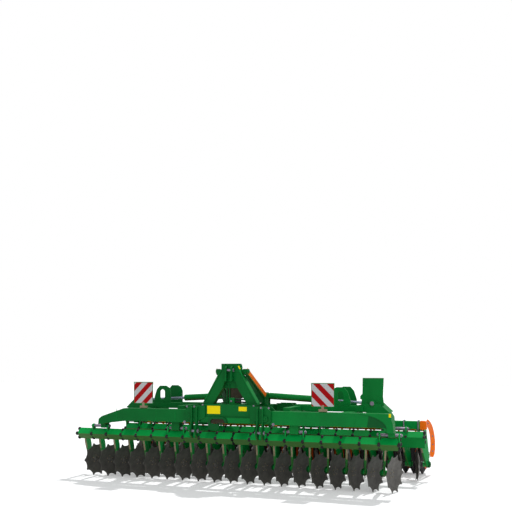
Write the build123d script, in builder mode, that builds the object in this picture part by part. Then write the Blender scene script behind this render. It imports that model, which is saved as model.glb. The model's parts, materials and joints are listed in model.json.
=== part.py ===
"""Mounted folding disc harrow: 38 notched discs in two rows, two folding wings and a wedge-ring roller.

Millimetres. X runs across the machine, -Y is the tractor's side and +Z is up. The origin lies on the
ground under the middle of the machine's box. The machine stands on its discs and its roller.
"""

import math
import os

from build123d import *

# Driving dimensions of the working row
disc_pitch = 250.0  # between two discs of one row
discs_a_side = 10  # in the row that reaches further out, the other row has one less
disc_radius = 255.0
notch_count = 10
notch_depth = 38.0
dish_depth = 45.0
dish_flat = 78.0  # radius of the flat middle
disc_steel = 5.0
tip_angle = math.pi / notch_count  # a notch lies at the bottom between two tips
valley_angle = math.radians(5.5)  # half of a notch's floor
hub_z = disc_radius * math.cos(tip_angle)
front_toe = 16.5  # turn of a disc against the direction of travel
rear_toe = 14.0
row_gap = 1065.0

# Places along the machine
front_y = -797.5  # hub line of the front discs
rear_y = front_y + row_gap
beam_lead = 250.0  # a disc beam lies this far before its hub line
beam_z = 650.0
hinge_x = 550.0
hinge_z = 940.0
centre_gap = 12.0  # each half keeps this far from the middle plane

# Clamps, arms and hubs of the discs
shell_half = 80.0  # half the diagonal of a clamp shell
shell_wall = 8.0
shell_length = 226.0
bar_side = 66.0  # square bar inside the shells
cord_radius = 14.3
cord_offset = bar_side / 2 + cord_radius
arm_thick = 26.0
arm_offset = 92.0  # front edge of a disc arm beside its disc; the arm leads away from the disc
arm_lead = 66.0  # and behind the middle of its beam
hub_radius = 46.0
hub_length = 40.0
hub_gap = 0.3  # between the turning hub and the bearing housing
housing_radius = 38.0  # bearing housing at the arm's lower end
housing_length = 112.0
housing_cross = 68.0  # from the hub to where the arm holds the housing
shell_shift = 25.0  # the clamp's middle stands this far to the arm's side of its disc
lug_thick = 16.0  # lugs stand on the bar in the gaps between shells
lug_top = 795.0
lug_pin_z = 767.0
lug_pin_radius = 20.0
foot_low = 742.0
foot_half = 50.0
pin_play = 0.05

# Roller
ring_pitch = 125.0
rings_a_side = 19
ring_radius = 290.0
ring_half = 46.0
roller_facets = 14  # their middles lie on the true radius
drum_radius = 210.0
axle_y = front_y + 1790.0
axle_radius = 35.0
roller_in = 34.0
end_plate = 12.0
seat = 0.3  # two pieces that rest on each other are drawn this far apart
roller_out = 2372.0

# Frames
crossbeam_half = 400.0
crossbeam_low = 940.0
crossbeam_high = 1122.0
rear_cross_high = 1080.0
ear_plate = 22.0
tower_y = front_y - 250.0
tower_top = 1676.0
stay_foot_y = front_y + 330.0
stay_top_x = 205.0
stay_foot_x = 292.0
stay_top_z = 1570.0
stay_half = 22.0
box_low = 862.0
box_high = 1040.0
box_depth = 150.0
box_y = front_y - 300.0  # middle of the wing's front box
rear_box_y = front_y + 800.0
rear_box_low = 990.0
rear_box_high = 1085.0
box_in = 615.0
long_top = 1130.0
inner_foot = 650.0  # the feet's inner lugs stand in the first gaps beyond these
outer_foot = 1900.0
front_necks = {  # shoulder, elbow, elbow's height, foot from, foot to
    "right": (2195.0, 2212.0, 958.0, 2150.0, 2235.0),
    "left": (1630.0, 1995.0, 920.0, 1980.0, 2060.0),
}
rear_necks = {"right": (1980.0, 2050.0), "left": (2060.0, 2140.0)}
side_beam_x = 1550.0
reach_arms = (860.0, 1760.0)
saddle_x = 1388.0
saddle_y = front_y + 350.0
saddle_z = 1352.0
eye_radius = 60.0
hinge_pin_radius = 25.0
rear_tube_y = front_y + 1350.0
rear_tube_side = 112.0
rear_tube_z = 780.0

# Three-point linkage
link_x = 482.5  # half of the spacing of the lower links
link_y = front_y - 440.0
link_z = 755.0
link_bore = 18.6
link_plate = 20.0
link_slot = 56.0
top_y = front_y - 330.0
top_z = 1587.0
top_low_z = 1475.0
top_bore = 16.2
top_slot = 60.0
top_plate = 22.0

# Fold cylinders
cyl_y = front_y + 500.0
cyl_in_x = 230.0
cyl_in_z = 1215.0
cyl_out_x = 1806.0
cyl_out_z = 1127.0
barrel_radius = 47.5
barrel_length = 850.0
rod_radius = 19.0
rod_eye_radius = 38.0
cyl_pin_radius = 20.0
ear_in = 34.0  # from the cylinder's middle to an ear
ear_thick = 18.0

rod_length = 780.0

# Warning boards and scrapers
board_x = 1320.0
board_y = front_y - 350.0
board_low = 1110.0
board_side = 310.0
scraper_y = front_y + 1500.0
scraper_z = 690.0
scraper_low = 440.0
scraper_half = 11.0

os.makedirs("parts", exist_ok=True)


def save(name, part):
    """Labels a finished piece and writes its file."""
    part.label = name
    export_step(part, f"parts/{name}.step")


def block(x0, x1, y0, y1, z0, z1, mode=Mode.ADD):
    """A block between two corners, in the part in work."""
    with Locations(((x0 + x1) / 2, (y0 + y1) / 2, (z0 + z1) / 2)):
        Box(abs(x1 - x0), abs(y1 - y0), abs(z1 - z0), mode=mode)


def plate_xz(points, y0, y1, mode=Mode.ADD):
    """A plate that stands across the machine: its outline as (x, z), from y0 back to y1."""
    with BuildSketch(Plane(origin=(0, y1, 0), x_dir=(1, 0, 0), z_dir=(0, -1, 0))) as outline:
        Polygon(*points, align=None)
    extrude(outline.sketch, amount=y1 - y0, mode=mode)


def plate_yz(points, x0, x1, mode=Mode.ADD):
    """A plate that stands along the machine: its outline as (y, z), from x0 to x1."""
    with BuildSketch(Plane(origin=(x0, 0, 0), x_dir=(0, 1, 0), z_dir=(1, 0, 0))) as outline:
        Polygon(*points, align=None)
    extrude(outline.sketch, amount=x1 - x0, mode=mode)


def rod_x(x0, x1, y, z, radius, mode=Mode.ADD, sides=0):
    """A round bar or hole across the machine, or a nut or head with that many sides."""
    with BuildSketch(Plane(origin=(x0, y, z), x_dir=(0, 1, 0), z_dir=(1, 0, 0))) as outline:
        if sides:
            RegularPolygon(radius, sides)
        else:
            Circle(radius)
    extrude(outline.sketch, amount=x1 - x0, mode=mode)


def rod_y(x, y0, y1, z, radius, mode=Mode.ADD, sides=0):
    """A round bar or hole along the machine, or a nut or head with that many sides."""
    with BuildSketch(Plane(origin=(x, y1, z), x_dir=(1, 0, 0), z_dir=(0, -1, 0))) as outline:
        if sides:
            RegularPolygon(radius, sides)
        else:
            Circle(radius)
    extrude(outline.sketch, amount=y1 - y0, mode=mode)


def mirrored(name, part):
    """Writes the other half's piece, mirrored about the middle plane."""
    with BuildPart() as other:
        mirror(part, about=Plane.YZ)
    save(name, other.part)


# One row of the table per disc: row name, number, rim centre's X, hub line's Y, toe, side it looks to
first_front = -(discs_a_side - 0.75) * disc_pitch
first_rear = first_front + disc_pitch / 2
row_length = 2 * discs_a_side - 1
rows = [("front", first_front, front_y, front_toe, 1), ("rear", first_rear, rear_y, rear_toe, -1)]
discs = []
for row_name, first_x, row_y, toe, looks in rows:
    for number in range(row_length):
        x = first_x + number * disc_pitch
        side = "left" if x + looks * (disc_pitch / 2 - shell_shift - 60) < 0 else "right"
        discs.append((f"disc_{row_name}_{number + 1:02d}", side, x, row_y, toe, looks))


def disc_plane(x, y, toe, looks):
    """Plane on a disc's rim centre: Z along its axle, out of the dish, and X straight down."""
    turn = math.radians(toe)
    axle = Vector(looks * math.cos(turn), -math.sin(turn), 0)
    return Plane(origin=(x, y, hub_z), x_dir=(0, 0, -1), z_dir=axle)


def star_points():
    """Outline of a notched disc: each notch has a short floor, each tip is a point."""
    points = []
    for notch in range(notch_count):
        middle = 2 * tip_angle * notch
        for radius, angle in (
            (disc_radius - notch_depth, middle - valley_angle),
            (disc_radius - notch_depth, middle + valley_angle),
            (disc_radius, middle + tip_angle),
        ):
            points.append((radius * math.cos(angle), radius * math.sin(angle)))
    return points


def diamond(half, mode=Mode.ADD):
    """A square on its corner, in the sketch in work."""
    Polygon((half, 0), (0, half), (-half, 0), (0, -half), align=None, mode=mode)


def faceted(plane, profile, reach, sides):
    """A turned form with flat facets: the profile, as (radius, along the axis), run round the plane's Z."""
    half_width = reach * math.tan(math.pi / sides)
    side_on = Plane(plane.origin, x_dir=plane.x_dir, z_dir=-plane.y_dir)
    with BuildPart(mode=Mode.PRIVATE) as sector:
        with BuildSketch(side_on) as outline:
            Polygon(*profile, align=None)
        extrude(outline.sketch, amount=half_width, both=True)
        with BuildSketch(plane.offset(-3000)) as wedge:
            Polygon((0, 0), (reach, half_width), (reach, -half_width), align=None)
        extrude(wedge.sketch, amount=6000, mode=Mode.INTERSECT)
    turns = [Axis(plane.origin, plane.z_dir)] * sides
    return [sector.part.rotate(axis, 360 / sides * turn) for turn, axis in enumerate(turns)]


def make_disc(row_y, toe, looks):
    """A notched dish with the hub that turns with it, its rim's centre at X = 0."""
    plane = disc_plane(0, row_y, toe, looks)
    flat = dish_flat * math.cos(tip_angle)
    rim = (disc_radius + 3) * math.cos(tip_angle)
    steel = [(0, -back), (flat, -back), (rim, -disc_steel), (rim, 0), (flat, -dish_depth), (0, -dish_depth)]
    with BuildPart() as disc:
        add(faceted(plane, steel, rim, notch_count))
        with BuildSketch(plane.offset(5)):
            Polygon(*star_points(), align=None)
        extrude(amount=-back - 10, mode=Mode.INTERSECT)
        with BuildSketch(plane.offset(-back)):
            RegularPolygon(hub_radius, 8)
        extrude(amount=-hub_length)
    return disc.part


def make_carrier(row_y, toe, looks):
    """A clamp shell with its arm and the bearing housing that the hub turns against."""
    beam_y = row_y - beam_lead
    housing = disc_plane(0, row_y, toe, looks).offset(-back - hub_length - hub_gap)
    start = Vector(-looks * arm_offset, beam_y + arm_lead, 0)
    cross = housing.offset(-housing_cross).origin
    along_arm = (Vector(cross.X, cross.Y, 0) - start).normalized()
    reach = (Vector(cross.X, cross.Y, 0) - start).length
    arm = [
        (-16, beam_z - 46),
        (8, beam_z + 14),
        (60, beam_z + 4),
        (reach * 0.66, beam_z - 56),
        (reach * 0.94, beam_z - 170),
        (reach + 38, hub_z + 50),
        (reach + 38, hub_z - 28),
        (reach - 6, hub_z - 48),
        (reach - 50, hub_z - 14),
        (reach * 0.24, beam_z - 230),
        (0, beam_z - 130),
    ]
    arm_plane = Plane(origin=start, x_dir=along_arm, z_dir=(along_arm.Y, -along_arm.X, 0))
    across = Plane(origin=(-looks * shell_shift, beam_y, beam_z), x_dir=(0, 1, 0), z_dir=(1, 0, 0))
    with BuildPart() as carrier:
        with BuildSketch(across):
            diamond(shell_half)
        extrude(amount=shell_length / 2, both=True)
        with BuildSketch(arm_plane):
            Polygon(*arm, align=None)
        extrude(amount=arm_thick / 2, both=True)
        with BuildSketch(housing):
            RegularPolygon(housing_radius, 8)
        extrude(amount=-housing_length)
        with BuildSketch(across):
            diamond(shell_half - shell_wall * math.sqrt(2))
        extrude(amount=shell_length, both=True, mode=Mode.SUBTRACT)
    return carrier.part


back = dish_depth + disc_steel
carriers = {"left": [], "right": []}
ends = {}
for row_name, first_x, row_y, toe, looks in rows:
    one_disc = make_disc(row_y, toe, looks)
    one_carrier = make_carrier(row_y, toe, looks)
    for name, side, x in [(d[0], d[1], d[2]) for d in discs if d[3] == row_y]:
        with BuildPart() as disc:
            with Locations((x, 0, 0)):
                add(one_disc)
        save(name, disc.part)
        carriers[side].append(one_carrier.moved(Location((x, 0, 0))))
        low_x = x - looks * shell_shift - shell_length / 2
        lowest, highest = ends.get((row_name, side), (low_x, low_x))
        ends[row_name, side] = (min(lowest, low_x), max(highest, low_x + shell_length))
for side, solids in carriers.items():
    with BuildPart() as row_carriers:
        add(solids)
    save(f"disc_carriers_{side}", row_carriers.part)
print("ends of the disc rows", ends)

# Where the frame's feet stand on the bars: the gaps between shells on both sides of a foot
feet = {}
for row_name, first_x, row_y, toe, looks in rows:
    for side in ("left", "right"):
        sign = 1 if side == "right" else -1
        gap = first_x + looks * (shell_length / 2 - shell_shift + 12)
        gaps = sorted(sign * (gap + disc_pitch * number) for number in range(row_length + 1))
        inner = min(x for x in gaps if x > inner_foot)
        outer = min(x for x in gaps if x > outer_foot)
        feet[row_name, side] = [(inner, inner + disc_pitch), (outer, outer + disc_pitch)]

# Disc bars: the square bar inside the shells, with the rubber cords in the shells' corners and the lugs
for side in ("left", "right"):
    sign = 1 if side == "right" else -1
    with BuildPart() as bars:
        for row_name, row_y in (("front", front_y), ("rear", rear_y)):
            x0, x1 = ends[row_name, side]
            reach = max(x for pair in feet[row_name, side] for x in pair) + lug_thick / 2
            x0, x1 = (min(x0, -reach), x1) if side == "left" else (x0, max(x1, reach))
            y = row_y - beam_lead
            half = bar_side / 2
            block(x0, x1, y - half, y + half, beam_z - half, beam_z + half)
            with BuildSketch(Plane(origin=(x0, y, beam_z), x_dir=(0, 1, 0), z_dir=(1, 0, 0))):
                with PolarLocations(cord_offset, 4):
                    RegularPolygon(cord_radius, 8, major_radius=False, rotation=22.5)
            extrude(amount=x1 - x0)
            lug = [
                (y - half, beam_z + half - 2),
                (y - 40, lug_top - 25),
                (y - 18, lug_top),
                (y + 18, lug_top),
                (y + 40, lug_top - 25),
                (y + half, beam_z + half - 2),
            ]
            for pair in feet[row_name, side]:
                for x in pair:
                    plate_yz(lug, sign * x - lug_thick / 2, sign * x + lug_thick / 2)
                low_x, high_x = sorted(sign * x for x in pair)
                rod_x(low_x - 22, high_x + 22, y, lug_pin_z, lug_pin_radius, sides=12)
    save(f"disc_bars_{side}", bars.part)


def make_wing(side):
    """A wing's frame, drawn on the right; the left one is mirrored from it with its own necks and feet."""
    front0, front1 = box_y - box_depth / 2, box_y + box_depth / 2
    rear0, rear1 = rear_box_y - box_depth / 2, rear_box_y + box_depth / 2
    beam_front, beam_rear = front_y - beam_lead, rear_y - beam_lead
    shoulder_x, elbow_x, elbow_z, foot_in, foot_out = front_necks[side]
    front_neck = [
        (box_in, box_low),
        (min(shoulder_x, foot_in) - 60, box_low),
        (foot_in - 50, elbow_z - 100),
        (foot_in, 800),
        (foot_out, 800),
        (foot_out - 10, elbow_z - 40),
        (elbow_x, elbow_z),
        (shoulder_x, box_high),
        (box_in, box_high),
    ]
    rear_in, rear_out = rear_necks[side]
    rear_neck = [
        (box_in, rear_box_low),
        (rear_in - 330, rear_box_low),
        (rear_in - 50, 860),
        (rear_in, 800),
        (rear_out, 800),
        (rear_out - 10, 930),
        (rear_out - 70, 1020),
        (rear_out - 190, rear_box_high),
        (box_in, rear_box_high),
    ]
    with BuildPart() as wing:
        plate_xz(front_neck, front0, front1)
        plate_xz(rear_neck, rear0, rear1)
        for y, neck_in, neck_out, pairs in (
            (beam_front, foot_in, foot_out, feet["front", side]),
            (beam_rear, rear_in, rear_out, feet["rear", side]),
        ):
            block(neck_in, neck_out, y - foot_half, y + foot_half, foot_low, 805)
            middle = sum(pairs[0]) / 2
            top = box_low if y == beam_front else rear_box_low
            block(middle - 60, middle + 60, y - foot_half, y + foot_half, foot_low, top + 5)
            for x0, x1 in ((neck_in, neck_out), (middle - 60, middle + 60)):
                play = lug_pin_radius + pin_play
                rod_x(x0 - 1, x1 + 1, y, lug_pin_z, play, mode=Mode.SUBTRACT, sides=12)
        for y0, y1 in ((front0, front1), (rear0, rear1)):
            eye = [
                (hinge_x + 8, hinge_z + 62),
                (box_in + 2, min(box_high, hinge_z + 95)),
                (box_in + 2, box_low),
                (hinge_x + 8, hinge_z - 62),
            ]
            plate_xz(eye, y0, y1)
            rod_y(hinge_x, y0, y1, hinge_z, eye_radius, sides=12)
            rod_y(hinge_x, y0 - 1, y1 + 1, hinge_z, hinge_pin_radius + pin_play, mode=Mode.SUBTRACT)
        block(box_in, box_in + 130, rear0, rear1, box_low, rear_box_high)
        block(box_in + 125, box_in + 225, front1, rear0, rear_box_low, rear_box_high)
        block(side_beam_x - 70, side_beam_x + 70, front1, rear0, 900, 1025)
        block(box_in + 120, 1700, saddle_y - 50, saddle_y + 50, 1020, 1100)
        for arm_x in reach_arms:
            reach = [
                (rear1, rear_box_low),
                (rear1, rear_box_high),
                (rear_tube_y - rear_tube_side / 2, rear_tube_z + 56),
                (rear_tube_y - rear_tube_side / 2, rear_tube_z - 40),
            ]
            plate_yz(reach, arm_x, arm_x + 90)
        # Saddles: a plate with an arched opening before the cylinder, and a closed one with a gusset behind it
        hump = [
            (saddle_x - 137, 1080),
            (saddle_x - 137, saddle_z - 90),
            (saddle_x - 112, saddle_z - 32),
            (saddle_x - 60, saddle_z),
            (saddle_x + 45, saddle_z),
            (saddle_x + 98, saddle_z - 60),
            (saddle_x + 137, saddle_z - 180),
            (saddle_x + 137, 1080),
        ]
        for y0 in (saddle_y - 10, rear0 + 10):
            plate_xz(hump, y0, y0 + 20)
        arch = Plane(origin=(saddle_x, saddle_y + 20, saddle_z - 130), x_dir=(1, 0, 0), z_dir=(0, -1, 0))
        with BuildSketch(arch) as hole:
            SlotOverall(150, 84, rotation=90)
        extrude(hole.sketch, amount=40, mode=Mode.SUBTRACT)
        gusset = [(rear0 + 20, saddle_z - 6), (rear1 - 30, 1170), (rear1 - 30, 1080), (rear0 + 20, 1080)]
        plate_yz(gusset, saddle_x - 70, saddle_x - 54)
        # Deck with the ears for the cylinder's rod, open between them
        deck = [(1600, 1015), (1600, 1090), (1690, long_top), (1920, long_top), (2050, 1010), (1960, 990)]
        plate_xz(deck, cyl_y - ear_in - ear_thick - 60, rear0)
        block(1590, cyl_out_x + 70, cyl_y - ear_in, cyl_y + ear_in, 980, 1140, mode=Mode.SUBTRACT)
        block(1590, 1735, cyl_y - 58, cyl_y + 58, 1055, 1140, mode=Mode.SUBTRACT)
        ear = [
            (cyl_out_x - 90, long_top - 10),
            (cyl_out_x - 40, cyl_out_z + 48),
            (cyl_out_x + 40, cyl_out_z + 48),
            (cyl_out_x + 110, long_top - 10),
        ]
        for y0 in (cyl_y - ear_in - ear_thick, cyl_y + ear_in):
            plate_xz(ear, y0, y0 + ear_thick)
        for head0 in (cyl_y - ear_in - ear_thick - 12, cyl_y + ear_in + ear_thick):
            rod_y(cyl_out_x, head0, head0 + 12, cyl_out_z, 26, sides=8)
        if side == "right":
            # Only the right wing carries the marker plate
            marker = [(1690, 1166), (1930, 1166), (1955, 1215), (1965, 1480), (1675, 1480), (1670, 1262)]
            marker += [(1640, 1230), (1640, 1190)]
            marker_y = cyl_y - ear_in - ear_thick - 6
            plate_xz(marker, marker_y, marker_y + 8)
    return wing.part


save("wing_frame_right", make_wing("right"))
mirrored("wing_frame_left", make_wing("left"))

# Centre frame: two cross beams, two beams along the machine, the linkage plates and the hinge ears
with BuildPart() as centre:
    y0, y1 = box_y - box_depth / 2, box_y + box_depth / 2
    block(-crossbeam_half, crossbeam_half, y0, y1, crossbeam_low, crossbeam_high)
    block(-crossbeam_half, crossbeam_half, rear_box_y - 75, rear_box_y + 75, crossbeam_low, rear_cross_high)
    lip = [(y0 - 20, 872), (y0 - 8, 872), (y0, crossbeam_low), (y0, crossbeam_low + 10), (y0 - 20, crossbeam_low + 10)]
    plate_yz(lip, -crossbeam_half, crossbeam_half)
    for side in (-1, 1):
        low_x, high_x = sorted((side * 190, side * 290))
        block(low_x, high_x, y1 - 1, rear_box_y - 74, 1000, rear_cross_high)
        for ear0 in (y0 - 7 - ear_plate, y1 + 7, rear_box_y - 75 - 7 - ear_plate, rear_box_y + 75 + 7):
            ear = [
                (side * 330, crossbeam_low),
                (side * 330, 1100),
                (side * 560, 1100),
                (side * 628, 1040),
                (side * 628, 905),
                (side * 590, 872),
                (side * 480, 872),
            ]
            if side < 0:
                ear.reverse()
            plate_xz(ear, ear0, ear0 + ear_plate)
        for web0, web1 in ((y0 - 7 - ear_plate, y0 + 1), (y1 - 1, y1 + 7 + ear_plate)):
            low_x, high_x = sorted((side * 330, side * 398))
            block(low_x, high_x, web0, web1, crossbeam_low, 1100)
        for web0, web1 in ((rear_box_y - 75 - 7 - ear_plate, rear_box_y - 74), (rear_box_y + 74, rear_box_y + 82 + ear_plate)):
            low_x, high_x = sorted((side * 330, side * 398))
            block(low_x, high_x, web0, web1, crossbeam_low, rear_cross_high)
        for hinge_y in (box_y, rear_box_y):
            rod_y(side * hinge_x, hinge_y - 83, hinge_y + 83, hinge_z, hinge_pin_radius)
            for head0 in (hinge_y - 82 - ear_plate - 16, hinge_y + 82 + ear_plate):
                rod_y(side * hinge_x, head0, head0 + 16, hinge_z, 42, sides=8)
        # Linkage plates, bored for the lower links' pins
        link = [
            (y0 - 8, 1100),
            (y0 - 8, 700),
            (link_y + 40, 650),
            (link_y - 30, 700),
            (link_y - 45, link_z),
            (link_y - 30, 800),
            (y0 - 60, 900),
            (y0 - 60, 1080),
        ]
        for offset in (-link_slot / 2 - link_plate, link_slot / 2):
            low_x = side * link_x + offset
            plate_yz(link, low_x, low_x + link_plate)
        reach = link_slot / 2 + link_plate + 1
        rod_x(side * link_x - reach, side * link_x + reach, link_y, link_z, link_bore, mode=Mode.SUBTRACT)
        # Ears and pin of the cylinder's barrel
        low_x, high_x = sorted((side * (cyl_in_x - 55), side * (cyl_in_x + 55)))
        foot = [(low_x, rear_cross_high - 5), (low_x, cyl_in_z + 10), (low_x + 30, cyl_in_z + 48)]
        foot += [(high_x - 30, cyl_in_z + 48), (high_x, cyl_in_z + 10), (high_x, rear_cross_high - 5)]
        for y in (cyl_y - ear_in - ear_thick, cyl_y + ear_in):
            plate_xz(foot, y, y + ear_thick)
        rod_y(side * cyl_in_x, cyl_y - ear_in - 1, cyl_y + ear_in + 1, cyl_in_z, cyl_pin_radius)
save("centre_frame", centre.part)

# Tower: an A-frame with the top link's plates and a stay back to each long beam
with BuildPart() as tower:
    y0, y1 = tower_y - 50, tower_y + 50
    legs = [(-403, crossbeam_high), (-128, 1590), (-128, tower_top), (128, tower_top), (128, 1590), (403, crossbeam_high)]
    legs += [(252, crossbeam_high), (110, 1340), (-110, 1340), (-252, crossbeam_high)]
    plate_xz(legs, y0, y1)
    plate_xz([(-80, 1436), (80, 1436), (112, 1338), (-112, 1338)], y0 - 1, y1 - 30, mode=Mode.SUBTRACT)
    cheek = [(y0 + 1, 1440), (top_y - 34, 1440), (top_y - 34, 1620), (y0 + 1, 1660)]
    for x0 in (-top_slot / 2 - top_plate, top_slot / 2):
        plate_yz(cheek, x0, x0 + top_plate)
    for hole_z in (top_z, top_low_z):
        rod_x(-60, 60, top_y, hole_z, top_bore, mode=Mode.SUBTRACT)
    rod_x(-232, 232, tower_y + 20, stay_top_z, 30, sides=12)
    for side in (-1, 1):
        # A stay runs outward as well as back, from the tube's end to the long beam
        run = stay_foot_y - tower_y - 20
        splay = math.atan((stay_foot_x - stay_top_x) / run)
        over = run / math.cos(splay)
        stay = [
            (-30, stay_top_z + 34),
            (30, stay_top_z + 34),
            (over - 10, 1250),
            (over + 55, 1205),
            (over + 55, rear_cross_high),
            (over - 65, rear_cross_high),
            (over - 75, 1190),
            (20, stay_top_z - 52),
            (-30, stay_top_z - 40),
        ]
        turned = Plane(
            origin=(side * stay_top_x, tower_y + 20, 0),
            x_dir=(side * math.sin(splay), math.cos(splay), 0),
            z_dir=(math.cos(splay), -side * math.sin(splay), 0),
        )
        with BuildSketch(turned) as outline:
            Polygon(*stay, align=None)
        extrude(outline.sketch, amount=stay_half, both=True)
        x0, x1 = sorted((side * 200, side * 330))
        block(x0, x1, stay_foot_y - 60, stay_foot_y + 60, rear_cross_high, rear_cross_high + 30)
save("tower", tower.part)
print("centre", len(centre.part.solids()), "tower", len(tower.part.solids()))

# Wedge-ring rollers, one a side, each ring a wedge on the drum
profile = [(0, roller_in)]
for number in range(rings_a_side):
    x = ring_pitch / 2 + number * ring_pitch
    foot_x = max(x - ring_half, roller_in)
    foot_radius = ring_radius - (ring_radius - drum_radius) * (x - foot_x) / ring_half
    profile += [(foot_radius, foot_x), (ring_radius, x), (drum_radius, x + ring_half)]
profile += [(drum_radius, roller_out), (0, roller_out)]
with BuildPart() as roller:
    axle = Plane(origin=(0, axle_y, ring_radius), x_dir=(0, 0, -1), z_dir=(1, 0, 0))
    add(faceted(axle, profile, ring_radius, roller_facets))
    rod_x(roller_in - 14, roller_in + 1, axle_y, ring_radius, axle_radius)
    rod_x(roller_out - 1, roller_out + 40, axle_y, ring_radius, axle_radius)
save("roller_right", roller.part)
mirrored("roller_left", roller.part)

# Roller frame on the right: the cross tube, its clamped arms and the end plates with the bearings
with BuildPart() as roller_frame:
    half = rear_tube_side / 2
    block(centre_gap, 2400, rear_tube_y - half, rear_tube_y + half, rear_tube_z - half, rear_tube_z + half)
    for x0 in (centre_gap, roller_out + end_plate):
        end = [
            (rear_tube_y - half, rear_tube_z - half + 5),
            (rear_tube_y + half + 170, rear_tube_z - half + 5),
            (axle_y + 70, ring_radius + 70),
            (axle_y + 70, ring_radius - 60),
            (axle_y - 70, ring_radius - 60),
        ]
        plate_yz(end, x0, x0 + end_plate)
    rod_x(centre_gap - 1, roller_out + 60, axle_y, ring_radius, axle_radius + 0.05, mode=Mode.SUBTRACT)
save("roller_frame_right", roller_frame.part)
mirrored("roller_frame_left", roller_frame.part)

# Scrapers on the right: a flat bar with a strip down between each two rings
with BuildPart() as scrapers:
    inner, outer = centre_gap + end_plate + seat, roller_out + end_plate - seat
    block(inner, outer, scraper_y - 30, scraper_y + 30, scraper_z - 8, scraper_z + 8)
    for number in range(1, rings_a_side):
        x = number * ring_pitch
        strip = [
            (scraper_y - 20, scraper_z),
            (scraper_y + 20, scraper_z),
            (scraper_y + 130, scraper_low),
            (scraper_y + 90, scraper_low),
        ]
        plate_yz(strip, x - scraper_half, x + scraper_half)
save("scrapers_right", scrapers.part)
mirrored("scrapers_left", scrapers.part)

# Guard at the outer end of the roller
with BuildPart() as guard:
    outline = [
        (rear_tube_y - 40, 835),
        (rear_tube_y + 60, 850),
        (axle_y + 20, 720),
        (axle_y + 120, 540),
        (axle_y + 110, 300),
        (axle_y - 30, 250),
        (axle_y - 60, 420),
        (rear_tube_y + 60, 700),
    ]
    plate_yz(outline, roller_out + 52, roller_out + 58)
    block(2400, roller_out + 58, rear_tube_y - 30, rear_tube_y + 30, 740, 820)
save("end_guard_right", guard.part)
mirrored("end_guard_left", guard.part)

# Fold cylinders on the right, drawn along their own axis from the inner pin
cyl_dx = cyl_out_x - cyl_in_x
cyl_dz = cyl_out_z - cyl_in_z
cyl_open = math.hypot(cyl_dx, cyl_dz)
along = Vector(cyl_dx, 0, cyl_dz).normalized()


def cylinder_plane(distance):
    """Plane across the cylinder at a distance from its inner pin."""
    start = Vector(cyl_in_x, cyl_y, cyl_in_z) + along * distance
    return Plane(origin=start, x_dir=(0, 1, 0), z_dir=along)


with BuildPart() as barrel:
    with BuildSketch(cylinder_plane(64)):
        Circle(barrel_radius)
    extrude(amount=barrel_length - 64)
    with BuildSketch(cylinder_plane(25)):
        Rectangle(52, 70)
    extrude(amount=45)
    rod_y(cyl_in_x, cyl_y - 26, cyl_y + 26, cyl_in_z, 46, sides=12)
    with BuildSketch(cylinder_plane(barrel_length + 1)):
        Circle(rod_radius + 0.05)
    extrude(amount=-barrel_length + 60, mode=Mode.SUBTRACT)
    rod_y(cyl_in_x, cyl_y - 30, cyl_y + 30, cyl_in_z, cyl_pin_radius + 0.05, mode=Mode.SUBTRACT)
save("cylinder_barrel_right", barrel.part)
mirrored("cylinder_barrel_left", barrel.part)

with BuildPart() as rod:
    with BuildSketch(cylinder_plane(cyl_open - rod_length)):
        Circle(rod_radius)
    extrude(amount=rod_length - 10)
    rod_y(cyl_out_x, cyl_y - 26, cyl_y + 26, cyl_out_z, rod_eye_radius, sides=12)
    rod_y(cyl_out_x, cyl_y - ear_in + 1, cyl_y + ear_in - 1, cyl_out_z, cyl_pin_radius)
save("cylinder_rod_right", rod.part)
mirrored("cylinder_rod_left", rod.part)

# Warning board on its bracket
with BuildPart() as board:
    block(board_x - board_side / 2, board_x + board_side / 2, board_y, board_y + 5, board_low, board_low + board_side)
    block(board_x - 50, board_x + 50, board_y + 5, board_y + 30, box_high, board_low + 120)
save("warning_board_right", board.part)
mirrored("warning_board_left", board.part)
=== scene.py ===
"""Looks of the mounted folding disc harrow, in metres, in the frame of the CAD model."""

import json
import math
from collections import namedtuple

import bpy
from mathutils import Matrix, Vector

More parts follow.
